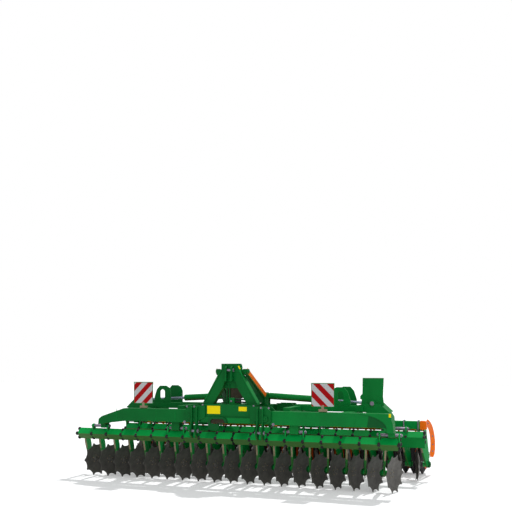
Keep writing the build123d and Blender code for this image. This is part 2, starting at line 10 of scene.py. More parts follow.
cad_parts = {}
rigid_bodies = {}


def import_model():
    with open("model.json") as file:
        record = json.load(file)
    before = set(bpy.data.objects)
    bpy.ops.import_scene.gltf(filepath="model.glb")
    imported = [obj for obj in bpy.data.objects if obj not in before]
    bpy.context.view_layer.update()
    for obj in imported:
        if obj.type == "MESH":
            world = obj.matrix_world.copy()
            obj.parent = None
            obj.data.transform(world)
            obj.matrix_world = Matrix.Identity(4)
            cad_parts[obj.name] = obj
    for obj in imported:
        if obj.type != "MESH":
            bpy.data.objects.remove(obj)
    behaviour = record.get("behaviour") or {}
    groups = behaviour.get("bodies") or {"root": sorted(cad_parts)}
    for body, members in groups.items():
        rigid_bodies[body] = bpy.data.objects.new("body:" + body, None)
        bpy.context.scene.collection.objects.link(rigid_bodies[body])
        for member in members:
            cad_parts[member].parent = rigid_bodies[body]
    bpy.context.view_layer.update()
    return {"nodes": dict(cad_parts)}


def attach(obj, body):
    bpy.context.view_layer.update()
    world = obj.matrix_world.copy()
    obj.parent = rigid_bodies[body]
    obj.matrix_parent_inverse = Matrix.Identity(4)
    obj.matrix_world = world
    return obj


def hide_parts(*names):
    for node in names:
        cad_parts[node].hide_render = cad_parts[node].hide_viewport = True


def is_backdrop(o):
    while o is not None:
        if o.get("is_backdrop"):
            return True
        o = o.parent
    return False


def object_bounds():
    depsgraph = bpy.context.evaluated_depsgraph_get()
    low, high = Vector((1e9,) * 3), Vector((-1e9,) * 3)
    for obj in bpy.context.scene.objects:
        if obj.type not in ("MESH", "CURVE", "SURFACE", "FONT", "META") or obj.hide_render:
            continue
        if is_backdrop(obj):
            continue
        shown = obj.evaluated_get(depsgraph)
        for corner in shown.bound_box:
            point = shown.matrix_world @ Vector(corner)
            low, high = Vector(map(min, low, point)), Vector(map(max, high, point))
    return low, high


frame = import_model()
SIDES = (("left", -1), ("right", 1))

# Sizes shared with the CAD source
FRONT_Y, REAR_Y = -0.7975, 0.2675
PITCH, ROW_DISCS = 0.25, 19
DISC_R, NOTCHES = 0.255, 10
DISH, FLAT, STEEL = 0.045, 0.078, 0.005
HUB_Z = DISC_R * math.cos(math.pi / NOTCHES)
HUB_LENGTH, HUB_GAP, HOUSING_LENGTH, HOUSING_CROSS = 0.040, 0.0003, 0.112, 0.068
ARM_OFFSET, ARM_LEAD = 0.092, 0.066
BEAM_LEAD, BEAM_Z = 0.25, 0.65
SHELL, SHIFT, CORD = 0.226, 0.025, 0.0473
INNER_FOOT, OUTER_FOOT, LUG_Z = 0.65, 1.90, 0.767
AXLE_Y, RING_R, RING_PITCH = FRONT_Y + 1.79, 0.29, 0.125
BOX_Y, REAR_BOX_Y, BOX_HALF = FRONT_Y - 0.30, FRONT_Y + 0.80, 0.075
HINGE_X, HINGE_Z = 0.55, 0.94
TUBE_Y, TUBE_Z, TUBE_HALF = FRONT_Y + 1.35, 0.78, 0.056
CYL_Y = FRONT_Y + 0.5
BOARD_X, BOARD_Y, BOARD_LOW, BOARD_SIDE = 1.32, FRONT_Y - 0.35, 1.110, 0.310
LINK_X, LINK_Y, LINK_Z = 0.4825, FRONT_Y - 0.44, 0.755
TOP_Y, TOP_Z, TOP_LOW_Z = FRONT_Y - 0.33, 1.587, 1.475
TOWER_Y, CROSS_HIGH = FRONT_Y - 0.25, 1.122
STAY_TOP_X, STAY_FOOT_X, STAY_RUN, STAY_TOP_Z = 0.205, 0.292, 0.560, 1.570

# A row of discs: the first disc's X, the hub line's Y, the toe in degrees and the side that it looks to
Row = namedtuple("Row", "name first y toe looks")
ROWS = (Row("front", -9.25 * PITCH, FRONT_Y, 16.5, 1), Row("rear", -8.75 * PITCH, REAR_Y, 14.0, -1))


# Node trees
class Nodes:
    """A node tree whose nodes come with their inputs set or linked."""

    def __init__(self, tree):
        self.tree = tree

    def node(self, kind, inputs=None, **values):
        made = self.tree.nodes.new(kind)
        for key, value in values.items():
            setattr(made, key, value)
        for key, value in (inputs or {}).items():
            if isinstance(value, bpy.types.NodeSocket):
                self.tree.links.new(value, made.inputs[key])
            else:
                made.inputs[key].default_value = value
        return made

    def math(self, kind, a, b=0.0):
        return self.node("ShaderNodeMath", {0: a, 1: b}, operation=kind).outputs[0]


# Camera, light and floor
def camera(scene):
    data = bpy.data.cameras.new("camera")
    data.lens, data.sensor_width = 48.22, 36.0
    data.shift_y = 0.20
    data.clip_start, data.clip_end = 0.1, 200.0
    cam = bpy.data.objects.new("camera", data)
    scene.collection.objects.link(cam)
    azimuth, pitch = math.radians(20.721), math.radians(1.026)
    level = math.cos(pitch)
    look = Vector((-math.sin(azimuth) * level, math.cos(azimuth) * level, math.sin(pitch)))
    cam.location = (3.651, -9.744, 1.580)
    cam.rotation_mode = "QUATERNION"
    cam.rotation_quaternion = look.to_track_quat("-Z", "Y")
    scene.camera = cam


def sun(scene, name, energy, towards, angle):
    light = bpy.data.lights.new(name, "SUN")
    light.energy, light.angle = energy, angle
    obj = bpy.data.objects.new(name, light)
    scene.collection.objects.link(obj)
    obj.rotation_mode = "QUATERNION"
    obj.rotation_quaternion = Vector(towards).to_track_quat("-Z", "Y")


def surround(scene):
    """A soft pale light from all sides, which the camera sees as white."""
    scene.world = bpy.data.worlds.new("studio")
    scene.world.use_nodes = True
    scene.world.node_tree.nodes.clear()
    sky = Nodes(scene.world.node_tree)
    soft = sky.node("ShaderNodeBackground", {0: (0.93, 0.96, 1.0, 1), 1: 0.42}).outputs[0]
    plain = sky.node("ShaderNodeBackground", {0: (1, 1, 1, 1), 1: 1.0}).outputs[0]
    rays = sky.node("ShaderNodeLightPath").outputs
    seen = sky.math("MAXIMUM", rays["Is Camera Ray"], rays["Is Transmission Ray"])
    mixed = sky.node("ShaderNodeMixShader", {0: seen, 1: soft, 2: plain}).outputs[0]
    sky.node("ShaderNodeOutputWorld", {0: mixed})


def pale_floor(scene):
    """A pale floor that glows a little, so that only the shadow on it shows."""
    half = 60.0
    corners = [(-half, -half, 0), (half, -half, 0), (half, half, 0), (-half, half, 0)]
    mesh = bpy.data.meshes.new("floor")
    mesh.from_pydata(corners, [], [(0, 1, 2, 3)])
    floor = bpy.data.objects.new("floor", mesh)
    scene.collection.objects.link(floor)
    floor.location.z = -0.0006
    mat = bpy.data.materials.new("floor_pale")
    mat.use_nodes = True
    mat.node_tree.nodes.clear()
    pale = Nodes(mat.node_tree)
    base = pale.node("ShaderNodeBsdfDiffuse", {0: (0.72, 0.72, 0.72, 1)}).outputs[0]
    glow = pale.node("ShaderNodeEmission", {0: (1, 1, 1, 1), 1: 0.30}).outputs[0]
    none = pale.node("ShaderNodeEmission", {1: 0.0}).outputs[0]
    seen = pale.node("ShaderNodeLightPath").outputs["Is Camera Ray"]
    pick = pale.node("ShaderNodeMixShader", {0: seen, 1: none, 2: glow}).outputs[0]
    both = pale.node("ShaderNodeAddShader", {0: base, 1: pick}).outputs[0]
    pale.node("ShaderNodeOutputMaterial", {0: both})
    mesh.materials.append(mat)
    floor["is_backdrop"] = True


scene = bpy.context.scene
scene.view_settings.view_transform = "Standard"
camera(scene)
sun(scene, "sun_behind", 2.6, (-0.12, -0.56, -1.0), 0.03)
sun(scene, "fill_front", 0.9, (-0.40, 1.0, -0.75), 1.4)
surround(scene)
pale_floor(scene)


# Materials
def srgb(red, green, blue):
    """A colour given in bytes, as linear light."""
    shares = [c / 255 for c in (red, green, blue)]
    return (*(c / 12.92 if c <= 0.04045 else ((c + 0.055) / 1.055) ** 2.4 for c in shares), 1.0)


class Mat(Nodes):
    """A principled material that is ruled by the object's own coordinates."""

    def __init__(self, name, rough=0.5, metallic=0.0, coat=0.0):
        self.mat = bpy.data.materials.new(name)
        self.mat.use_nodes = True
        super().__init__(self.mat.node_tree)
        self.bsdf = self.tree.nodes["Principled BSDF"]
        self.bsdf.inputs["Roughness"].default_value = rough
        self.bsdf.inputs["Metallic"].default_value = metallic
        self.bsdf.inputs["Coat Weight"].default_value = coat
        self.coords = self.node("ShaderNodeTexCoord").outputs["Object"]

    def axes(self, vector):
        return self.node("ShaderNodeSeparateXYZ", {0: vector}).outputs

    def noise(self, scale, detail=4.0, rough=0.55, stretch=None):
        source = self.coords
        if stretch:
            source = self.node("ShaderNodeMapping", {"Vector": source, "Scale": stretch}).outputs[0]
        inputs = {"Vector": source, "Scale": scale, "Detail": detail, "Roughness": rough}
        return self.node("ShaderNodeTexNoise", inputs).outputs["Fac"]

    def span(self, value, low, high, to_low=0.0, to_high=1.0):
        inputs = {"Value": value, "From Min": low, "From Max": high, "To Min": to_low, "To Max": to_high}
        return self.node("ShaderNodeMapRange", inputs).outputs[0]

    def mix(self, factor, a, b):
        return self.node("ShaderNodeMix", {0: factor, 6: a, 7: b}, data_type="RGBA").outputs[2]

    def bump(self, height, strength, distance, after=None):
        inputs = {"Height": height, "Strength": strength, "Distance": distance}
        if after is not None:
            inputs["Normal"] = after
        return self.node("ShaderNodeBump", inputs).outputs[0]

    def done(self, colour, rough, normal):
        for key, value in (("Base Color", colour), ("Roughness", rough), ("Normal", normal)):
            self.tree.links.new(value, self.bsdf.inputs[key])
        return self.mat


def paint(name, base, deep, dust, rough=0.42, dusty=0.07, under=None):
    """Sprayed paint: slow changes of tone, orange peel, dust on what faces up, fine scratches and, when a
    tint is given, painted shade on what faces down.
    """
    m = Mat(name, rough, coat=0.02)
    m.bsdf.inputs["Specular IOR Level"].default_value = 0.12
    tone = m.mix(m.span(m.noise(2.2, 5.0), 0.35, 0.7), srgb(*base), srgb(*deep))
    tone = m.mix(m.span(m.noise(60.0, 6.0, 0.7), 0.60, 0.72, 0.0, 0.10), tone, srgb(*dust))
    up = m.axes(m.node("ShaderNodeNewGeometry").outputs["Normal"])["Z"]
    cloud = m.span(m.noise(9.0, 6.0, 0.6), 0.35, 0.75)
    tone = m.mix(m.math("MULTIPLY", m.span(up, 0.55, 1.0, 0.0, dusty), cloud), tone, srgb(*dust))
    # Faces that look down are mixed towards the given tint: painted shade with a warm painted ground
    # reflection.
    if under:
        tone = m.mix(m.span(up, -0.2, -0.75, 0.0, 0.75), tone, srgb(*under))
    scratch = m.noise(38.0, 3.0, 0.6, (1.0, 9.0, 9.0))
    roughness = m.span(scratch, 0.3, 0.75, rough - 0.07, rough + 0.16)
    peel = m.bump(m.noise(420.0, 2.0), 0.12, 0.0006)
    return m.done(tone, roughness, m.bump(m.noise(7.0, 3.0), 0.10, 0.004, peel))


def metal(name, base, spot, rough=0.4, metallic=0.85, scale=30.0, peel=0.25):
    """Bare or blackened metal with cloudy spots."""
    m = Mat(name, rough, metallic)
    tone = m.mix(m.span(m.noise(scale, 6.0, 0.65), 0.42, 0.72), srgb(*base), srgb(*spot))
    roughness = m.span(m.noise(scale * 2.3, 4.0), 0.3, 0.7, rough - 0.08, rough + 0.15)
    return m.done(tone, roughness, m.bump(m.noise(scale * 9.0, 3.0), peel, 0.0005))


def rubber(name, base, worn, rough=0.75):
    """Rubber or plastic with worn patches and a fine grain."""
    m = Mat(name, rough)
    tone = m.mix(m.span(m.noise(24.0, 6.0, 0.65), 0.45, 0.75), srgb(*base), srgb(*worn))
    roughness = m.span(m.noise(50.0, 3.0), 0.3, 0.7, rough - 0.1, rough + 0.12)
    return m.done(tone, roughness, m.bump(m.noise(260.0, 3.0), 0.35, 0.0008))


def disc_steel():
    """Tempered plate: turned rings, scale and a worn band along the rim."""
    m = Mat("disc_steel_dark", 0.5, 0.25)
    axes = m.axes(m.coords)
    squares = [m.math("MULTIPLY", axes[key], axes[key]) for key in ("X", "Y")]
    radius = m.math("SQRT", m.math("ADD", *squares))
    tone = m.mix(m.span(m.noise(11.0, 6.0, 0.65), 0.35, 0.7), srgb(84, 82, 78), srgb(112, 109, 103))
    rust = m.span(m.noise(19.0, 7.0, 0.7), 0.62, 0.78, 0.0, 0.5)
    tone = m.mix(rust, tone, srgb(92, 66, 48))
    rim = m.span(radius, DISC_R - 0.034, DISC_R - 0.006, 0.0, 0.55)
    worn = m.math("MULTIPLY", rim, m.span(m.noise(40.0, 5.0), 0.3, 0.6))
    tone = m.mix(worn, tone, srgb(120, 118, 116))
    rings = m.math("SINE", m.math("MULTIPLY", radius, 2600.0))
    roughness = m.span(m.noise(26.0, 4.0), 0.3, 0.7, 0.45, 0.68)
    return m.done(tone, roughness, m.bump(rings, 0.05, 0.0004, m.bump(m.noise(150.0, 4.0), 0.25, 0.0006)))


def stripes(name, slope, shift):
    """Diagonal red and white stripes of a warning board, ruled off by the board's own X and Z."""
    pair = 0.185
    corner = BOARD_X - BOARD_SIDE / 2 + BOARD_LOW
    m = Mat(name, 0.38)
    m.bsdf.inputs["Specular IOR Level"].default_value = 0.1
    axes = m.axes(m.coords)
    along = m.math("ADD", m.math("MULTIPLY", axes["X"], float(slope)), axes["Z"])
    wave = m.math("FRACT", m.math("DIVIDE", m.math("ADD", along, (20 + shift) * pair - corner), pair))
    grain = m.span(m.noise(5.0, 6.0), 0.35, 0.75, 0.0, 0.22)
    white = m.mix(grain, srgb(184, 186, 186), srgb(164, 166, 166))
    red = m.mix(grain, srgb(160, 4, 8), srgb(140, 4, 6))
    tone = m.mix(m.math("LESS_THAN", wave, 0.5), white, red)
    tone = m.mix(m.span(m.noise(90.0, 5.0, 0.7), 0.64, 0.74, 0.0, 0.3), tone, srgb(110, 105, 96))
    cells = m.node("ShaderNodeTexVoronoi", {"Vector": m.coords, "Scale": 420.0}).outputs["Distance"]
    return m.done(tone, m.span(m.noise(12.0), 0.3, 0.7, 0.3, 0.5), m.bump(cells, 0.2, 0.0004))


# Brownish tint for faces that look down: painted shade and painted ground reflection.
UNDERSIDE_SHADE_TINT = (74, 74, 36)
GREEN = paint("green_paint", (0, 128, 52), (0, 112, 45), (50, 118, 74), under=UNDERSIDE_SHADE_TINT)
# A lighter copy of the green paint, for parts that are to read as lit: painted light.
GREEN_PAINTED_LIT = paint("green_paint_bright", (0, 156, 68), (0, 138, 58), (60, 140, 90), under=UNDERSIDE_SHADE_TINT)
# A darker copy of the green paint, for parts that are to read as shaded: painted shade.
GREEN_PAINTED_SHADE = paint("green_paint_flat", (0, 106, 42), (0, 92, 36), (50, 104, 66), 0.5, under=UNDERSIDE_SHADE_TINT)
# The darkest copy of the green paint, for parts that sit in shade: painted deep shade.
GREEN_PAINTED_DEEP_SHADE = paint("green_paint_deep", (6, 92, 40), (4, 74, 32), (50, 88, 56), 0.5, 0.06)
ORANGE = paint("orange_paint", (255, 122, 16), (250, 110, 10), (214, 120, 60), 0.45, 0.06)
YELLOW = paint("yellow_plate", (246, 224, 4), (236, 212, 4), (170, 160, 90), 0.5, 0.06)
ZINC = metal("zinc_pin", (150, 140, 156), (116, 108, 124), 0.4, 0.5)
CHROME = metal("chrome_rod", (170, 176, 200), (150, 154, 176), 0.22, 0.85, 12.0, 0.05)
BLACK = rubber("black_rubber", (20, 18, 20), (44, 40, 42))
PLASTIC = rubber("black_plastic", (24, 24, 26), (40, 40, 42), 0.45)
IRON = metal("dark_iron", (30, 30, 30), (52, 48, 46), 0.5, 0.4)
DRUM = paint("orange_drum", (214, 84, 14), (180, 66, 10), (150, 96, 60), 0.5, 0.12)
# Dark brown for thin sheets in recesses and behind openings: painted shade.
PAINTED_SHADE_BROWN = metal("brown_recess", (48, 40, 16), (34, 30, 14), 0.75, 0.05)
# Pale beige for the disc nuts and the boards' bracket ends, and as painted highlight along the arms' front
# edges.
BEIGE_AND_EDGE_HIGHLIGHT = metal("beige_edge", (150, 136, 108), (118, 104, 78), 0.55, 0.15)
STEEL_DISC = disc_steel()
BOARD = {"left": stripes("board_stripes_left", -1, 0.42), "right": stripes("board_stripes_right", 1, 0.24)}


# Geometry Nodes: what repeats, follows a path or follows a rule
class Graph(Nodes):
    """One Geometry Nodes tree with named inputs for its sizes."""

    def __init__(self, name, **sizes):
        super().__init__(bpy.data.node_groups.new(name, "GeometryNodeTree"))
        sockets = self.tree.interface
        sockets.new_socket("Geometry", in_out="INPUT", socket_type="NodeSocketGeometry")
        sockets.new_socket("Geometry", in_out="OUTPUT", socket_type="NodeSocketGeometry")
        self.ids = {}
        for key, value in sizes.items():
            kind = "NodeSocketInt" if isinstance(value, int) else "NodeSocketFloat"
            made = sockets.new_socket(key, in_out="INPUT", socket_type=kind)
            made.default_value = value
            self.ids[key] = made.identifier
        made = sockets.new_socket("Material", in_out="INPUT", socket_type="NodeSocketMaterial")
        self.ids["Material"] = made.identifier
        self.size = self.tree.nodes.new("NodeGroupInput").outputs

    def end(self, geometry):
        real = self.node("GeometryNodeRealizeInstances", {0: geometry}).outputs[0]
        inputs = {"Geometry": real, "Material": self.size["Material"]}
        painted = self.node("GeometryNodeSetMaterial", inputs).outputs[0]
        self.tree.links.new(painted, self.tree.nodes.new("NodeGroupOutput").inputs[0])
        return self

    def grow(self, seed, mat, **sizes):
        """The plain mesh that the tree makes from a seed mesh."""
        obj = bpy.data.objects.new("seed", seed)
        bpy.context.scene.collection.objects.link(obj)
        modifier = obj.modifiers.new("grow", "NODES")
        modifier.node_group = self.tree
        modifier[self.ids["Material"]] = mat
        for key, value in sizes.items():
            modifier[self.ids[key]] = value
        graph = bpy.context.evaluated_depsgraph_get()
        plain = bpy.data.meshes.new_from_object(obj.evaluated_get(graph))
        obj.modifiers.clear()
        bpy.data.objects.remove(obj)
        bpy.data.meshes.remove(seed)
        return plain


def fastener_graph():
    """A hexagon head on a washer at every point, turned to the point's direction and scaled by its size."""
    g = Graph("hexagon_fasteners", Washer=1.45, Height=0.75)
    attribute = "GeometryNodeInputNamedAttribute"
    direction = g.node(attribute, {"Name": "towards"}, data_type="FLOAT_VECTOR").outputs[0]
    radius = g.node(attribute, {"Name": "radius"}, data_type="FLOAT").outputs[0]
    align = g.node("FunctionNodeAlignRotationToVector", {"Vector": direction}, axis="Z").outputs[0]
    sizes = {"Vertices": 6, "Radius": 1.0, "Depth": g.size["Height"]}
    head = g.node("GeometryNodeMeshCylinder", sizes).outputs["Mesh"]
    half = g.math("MULTIPLY", g.size["Height"], 0.5)
    lift = g.node("ShaderNodeCombineXYZ", {"Z": g.math("ADD", half, 0.18)}).outputs[0]
    head = g.node("GeometryNodeTransform", {"Geometry": head, "Translation": lift}).outputs[0]
    sizes = {"Vertices": 16, "Radius": g.size["Washer"], "Depth": 0.2}
    washer = g.node("GeometryNodeMeshCylinder", sizes).outputs["Mesh"]
    washer = g.node("GeometryNodeTransform", {"Geometry": washer, "Translation": (0, 0, 0.09)}).outputs[0]
    both = g.node("GeometryNodeJoinGeometry", {0: head})
    g.tree.links.new(washer, both.inputs[0])
    spread = {"Points": g.size["Geometry"], "Instance": both.outputs[0], "Rotation": align, "Scale": radius}
    return g.end(g.node("GeometryNodeInstanceOnPoints", spread).outputs[0])


def row_graph():
    """Repeats the seed along X."""
    g = Graph("row_along_beam", Count=2, Step=0.25)
    step = g.node("ShaderNodeCombineXYZ", {"X": g.size["Step"]}).outputs[0]
    spots = {"Count": g.size["Count"], "Offset": step}
    line = g.node("GeometryNodeMeshLine", spots, mode="OFFSET").outputs[0]
    spread = {"Points": line, "Instance": g.size["Geometry"]}
    return g.end(g.node("GeometryNodeInstanceOnPoints", spread).outputs[0])


def pipe_graph():
    """A round bar or pipe along the seed's edges."""
    g = Graph("pipe_on_path", Radius=0.01)
    path = g.node("GeometryNodeMeshToCurve", {"Mesh": g.size["Geometry"]}).outputs[0]
    sizes = {"Resolution": 14, "Radius": g.size["Radius"]}
    ring = g.node("GeometryNodeCurvePrimitiveCircle", sizes).outputs[0]
    pipe = {"Curve": path, "Profile Curve": ring, "Fill Caps": True}
    return g.end(g.node("GeometryNodeCurveToMesh", pipe).outputs[0])


def disc_graph():
    """A dished disc with round notches: a grid of angle and radius bent by rule, and a second one behind."""
    sizes = {"Radius": 0.2515, "Notch": 0.040, "Width": 0.066, "Edge": 0.020}
    g = Graph("notched_dish", Dish=DISH, Flat=FLAT, Steel=STEEL, **sizes)
    bite_from = 0.62  # share of the radius where a notch's pull begins
    sizes = {"Size X": 1.0, "Size Y": 1.0, "Vertices X": NOTCHES * 12 + 1, "Vertices Y": 15}
    grid = g.node("GeometryNodeMeshGrid", sizes).outputs["Mesh"]
    place = g.node("ShaderNodeSeparateXYZ", {0: g.node("GeometryNodeInputPosition").outputs[0]}).outputs
    turn = g.math("ADD", place["X"], 0.5)
    angle = g.math("MULTIPLY", turn, 2 * math.pi)
    share = g.math("ADD", place["Y"], 0.5)
    cell = g.math("FRACT", g.math("ADD", g.math("MULTIPLY", turn, float(NOTCHES)), 0.5))
    away = g.math("ABSOLUTE", g.math("SUBTRACT", cell, 0.5))
    along = g.math("MULTIPLY", away, g.math("MULTIPLY", g.size["Radius"], 2 * math.pi / NOTCHES))
    ratio = g.math("DIVIDE", along, g.size["Width"])
    curve = g.math("SQRT", g.math("MAXIMUM", g.math("SUBTRACT", 1.0, g.math("MULTIPLY", ratio, ratio)), 0.0))
    bite = g.math("MULTIPLY", curve, g.size["Notch"])
    near = g.math("DIVIDE", g.math("SUBTRACT", share, bite_from), 1.0 - bite_from)
    bite = g.math("MULTIPLY", bite, g.math("POWER", g.math("MAXIMUM", near, 0.0), 1.4))
    radius = g.math("SUBTRACT", g.math("MULTIPLY", share, g.size["Radius"]), bite)
    outside = g.math("MAXIMUM", g.math("SUBTRACT", radius, g.size["Flat"]), 0.0)
    hollow = g.math("DIVIDE", outside, g.math("SUBTRACT", g.size["Radius"], g.size["Flat"]))
    deep = g.math("MULTIPLY", g.math("POWER", hollow, 1.18), g.size["Dish"])
    height = g.math("SUBTRACT", deep, g.size["Dish"])
    left = g.math("MULTIPLY", g.math("SUBTRACT", 1.0, share), g.size["Radius"])
    thinning = g.math("MINIMUM", g.math("DIVIDE", left, g.size["Edge"]), 1.0)
    steel = g.math("MULTIPLY", thinning, g.size["Steel"])
    x = g.math("MULTIPLY", radius, g.math("COSINE", angle))
    y = g.math("MULTIPLY", radius, g.math("SINE", angle))
    sheets = g.node("GeometryNodeJoinGeometry")
    for back in (True, False):
        z = g.math("SUBTRACT", height, steel) if back else height
        spot = g.node("ShaderNodeCombineXYZ", {"X": x, "Y": y, "Z": z}).outputs[0]
        sheet = g.node("GeometryNodeSetPosition", {"Geometry": grid, "Position": spot}).outputs[0]
        if not back:
            sheet = g.node("GeometryNodeFlipFaces", {0: sheet}).outputs[0]
        g.tree.links.new(sheet, sheets.inputs[0])
    whole = {"Geometry": sheets.outputs[0], "Distance": 0.0001}
    return g.end(g.node("GeometryNodeMergeByDistance", whole).outputs[0])


FASTENERS, ROW_OF, PIPE, DISH_RULE = fastener_graph(), row_graph(), pipe_graph(), disc_graph()
TO_X = Matrix.Rotation(math.radians(90), 4, "Y")


# Mesh building
def placed(x, y, z, origin):
    """A frame from its axes and its origin."""
    at = Matrix((x, y, z)).transposed().to_4x4()
    at.translation = origin
    return at


def soften(obj, width, segments=2):
    """Rounded edges that catch the light."""
    mod = obj.modifiers.new("edges", "BEVEL")
    mod.width, mod.segments = width, segments
    mod.limit_method, mod.angle_limit = "ANGLE", math.radians(35.0)
    mod.harden_normals = False
    mod.use_clamp_overlap = True


def smooth_path(points, steps=6):
    """A Catmull-Rom line through the points."""
    points = [Vector(p) for p in points]
    ends = [points[0] * 2 - points[1]] + points + [points[-1] * 2 - points[-2]]
    line = []
    for i in range(1, len(ends) - 2):
        a, b, c, d = ends[i - 1 : i + 3]
        for k in range(steps):
            t = k / steps
            bend = (2 * a - 5 * b + 4 * c - d) * t * t + (3 * b - a - 3 * c + d) * t**3
            line.append(0.5 * (2 * b + (c - a) * t + bend))
    line.append(points[-1])
    return line


class Piece:
    """Gathers loose forms into one mesh, in the machine's frame. The first material is the default."""

    def __init__(self, name, *mats):
        self.name, self.mats = name, list(mats)
        self.verts, self.faces, self.which, self.round, self.heads = [], [], [], [], {}

    def add(self, verts, faces, mat=None, smooth=False, at=None):
        first = len(self.verts)
        self.verts += [tuple(at @ Vector(v)) if at else tuple(v) for v in verts]
        self.faces += [tuple(first + i for i in f) for f in faces]
        self.which += [self.mats.index(mat) if mat else 0] * len(faces)
        self.round += [smooth] * len(faces)

    def box(self, low, high, mat=None, at=None):
        x0, y0, z0 = low
        x1, y1, z1 = high
        v = [(x, y, z) for x in (x0, x1) for y in (y0, y1) for z in (z0, z1)]
        f = [(0, 1, 3, 2), (4, 6, 7, 5), (0, 4, 5, 1), (2, 3, 7, 6), (0, 2, 6, 4), (1, 5, 7, 3)]
        self.add(v, f, mat, False, at)

    def prism(self, points, axis, low, high, mat=None, at=None):
        """A plate along an axis, from points as (y, z) for X, (x, z) for Y and (x, y) for Z."""
        area = sum(a[0] * b[1] - b[0] * a[1] for a, b in zip(points, points[1:] + points[:1]))
        if (area > 0) != (axis != "Y"):
            points = points[::-1]
        place = "XYZ".index(axis)
        count = len(points)
        v = [(*p[:place], t, *p[place:]) for t in (low, high) for p in points]
        f = [(i, (i + 1) % count, count + (i + 1) % count, count + i) for i in range(count)]
        self.add(v, f, mat, False, at)
        self.add(v, [tuple(range(count))[::-1], tuple(range(count, 2 * count))], mat, False, at)

    def turned(self, profile, at=None, mat=None, count=32, closed=False):
        """A form turned about Z from (radius, height) pairs; a radius of 0 closes an end."""
        rings, v, f = [], [], []
        for radius, height in profile:
            if radius < 1e-7:
                rings.append([len(v)])
                v.append((0, 0, height))
            else:
                rings.append(list(range(len(v), len(v) + count)))
                angles = [2 * math.pi * k / count for k in range(count)]
                v += [(radius * math.cos(a), radius * math.sin(a), height) for a in angles]
        pairs = list(zip(rings, rings[1:]))
        if closed:
            pairs.append((rings[-1], rings[0]))
        for a, b in pairs:
            if len(a) == 1 and len(b) == 1:
                continue
            for k in range(count):
                n = (k + 1) % count
                if len(a) == 1:
                    f.append((a[0], b[n], b[k]))
                elif len(b) == 1:
                    f.append((a[k], a[n], b[0]))
                else:
                    f.append((a[k], a[n], b[n], b[k]))
        self.add(v, f, mat, True, at)

    def rod(self, start, end, radius, mat=None, count=24, chamfer=0.002):
        start, end = Vector(start), Vector(end)
        long = (end - start).length
        c = min(chamfer, long / 3, radius / 3)
        at = Matrix.Translation(start) @ (end - start).to_track_quat("Z", "Y").to_matrix().to_4x4()
        profile = [(0, 0), (radius - c, 0), (radius, c), (radius, long - c), (radius - c, long), (0, long)]
        self.turned(profile, at, mat, count)

    def boss(self, base, way, long, radius, mat=None, count=28, chamfer=0.002):
        """A round form that stands on a point."""
        base = Vector(base)
        self.rod(base, base + Vector(way) * long, radius, mat, count, chamfer)

    def nut(self, centre, towards, radius, height, mat):
        """A hexagon head or nut, grown with the others of its piece."""
        self.heads.setdefault((mat, 0.9, round(height / radius, 2)), []).append((centre, towards, radius))

    def bolt(self, centre, towards, radius, mat):
        """A hexagon bolt's head on its washer."""
        self.heads.setdefault((mat, 1.45, 0.7), []).append((centre, towards, radius))

    def grow_heads(self):
        for (mat, washer, height), spots in self.heads.items():
            seed = bpy.data.meshes.new("seed")
            seed.from_pydata([tuple(centre) for centre, way, radius in spots], [], [])
            ways = [part for centre, way, radius in spots for part in Vector(way).normalized()]
            seed.attributes.new("towards", "FLOAT_VECTOR", "POINT").data.foreach_set("vector", ways)
            sizes = [radius for centre, way, radius in spots]
            seed.attributes.new("radius", "FLOAT", "POINT").data.foreach_set("value", sizes)
            self.take(FASTENERS.grow(seed, mat, Washer=washer, Height=height), mat)

    def take(self, mesh, mat, smooth=False, at=None):
        """Adds a grown mesh."""
        faces = [tuple(f.vertices) for f in mesh.polygons]
        self.add([v.co for v in mesh.vertices], faces, mat, smooth, at)
        bpy.data.meshes.remove(mesh)

    def tube(self, path, radius, mat):
        """A round pipe that follows points."""
        seed = bpy.data.meshes.new("seed")
        seed.from_pydata([tuple(p) for p in path], [(i, i + 1) for i in range(len(path) - 1)], [])
        self.take(PIPE.grow(seed, mat, Radius=radius), mat, True)

    def repeat(self, form, count, step, first, mat, smooth=True):
        """A row of one small form, at equal steps along X."""
        seed = bpy.data.meshes.new("seed")
        seed.from_pydata(form.verts, [], form.faces)
        self.take(ROW_OF.grow(seed, mat, Count=count, Step=step), mat, smooth, Matrix.Translation(first))

    def mesh(self):
        self.grow_heads()
        mesh = bpy.data.meshes.new(self.name)
        mesh.from_pydata(self.verts, [], self.faces)
        for mat in self.mats:
            mesh.materials.append(mat)
        mesh.polygons.foreach_set("material_index", self.which)
        mesh.polygons.foreach_set("use_smooth", self.round)
        mesh.validate()
        mesh.update()
        return mesh

    def make(self, body, bevel=0.0, segments=2, replaces=(), *, slot):
        obj = bpy.data.objects.new(self.name, self.mesh())
        bpy.context.scene.collection.objects.link(obj)
        if bevel:
            soften(obj, bevel, segments)
        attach(obj, body)
        if replaces:
            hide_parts(*replaces)


# Discs: one mesh for all, placed on each disc's own axle
Disc = namedtuple("Disc", "name row side x at")


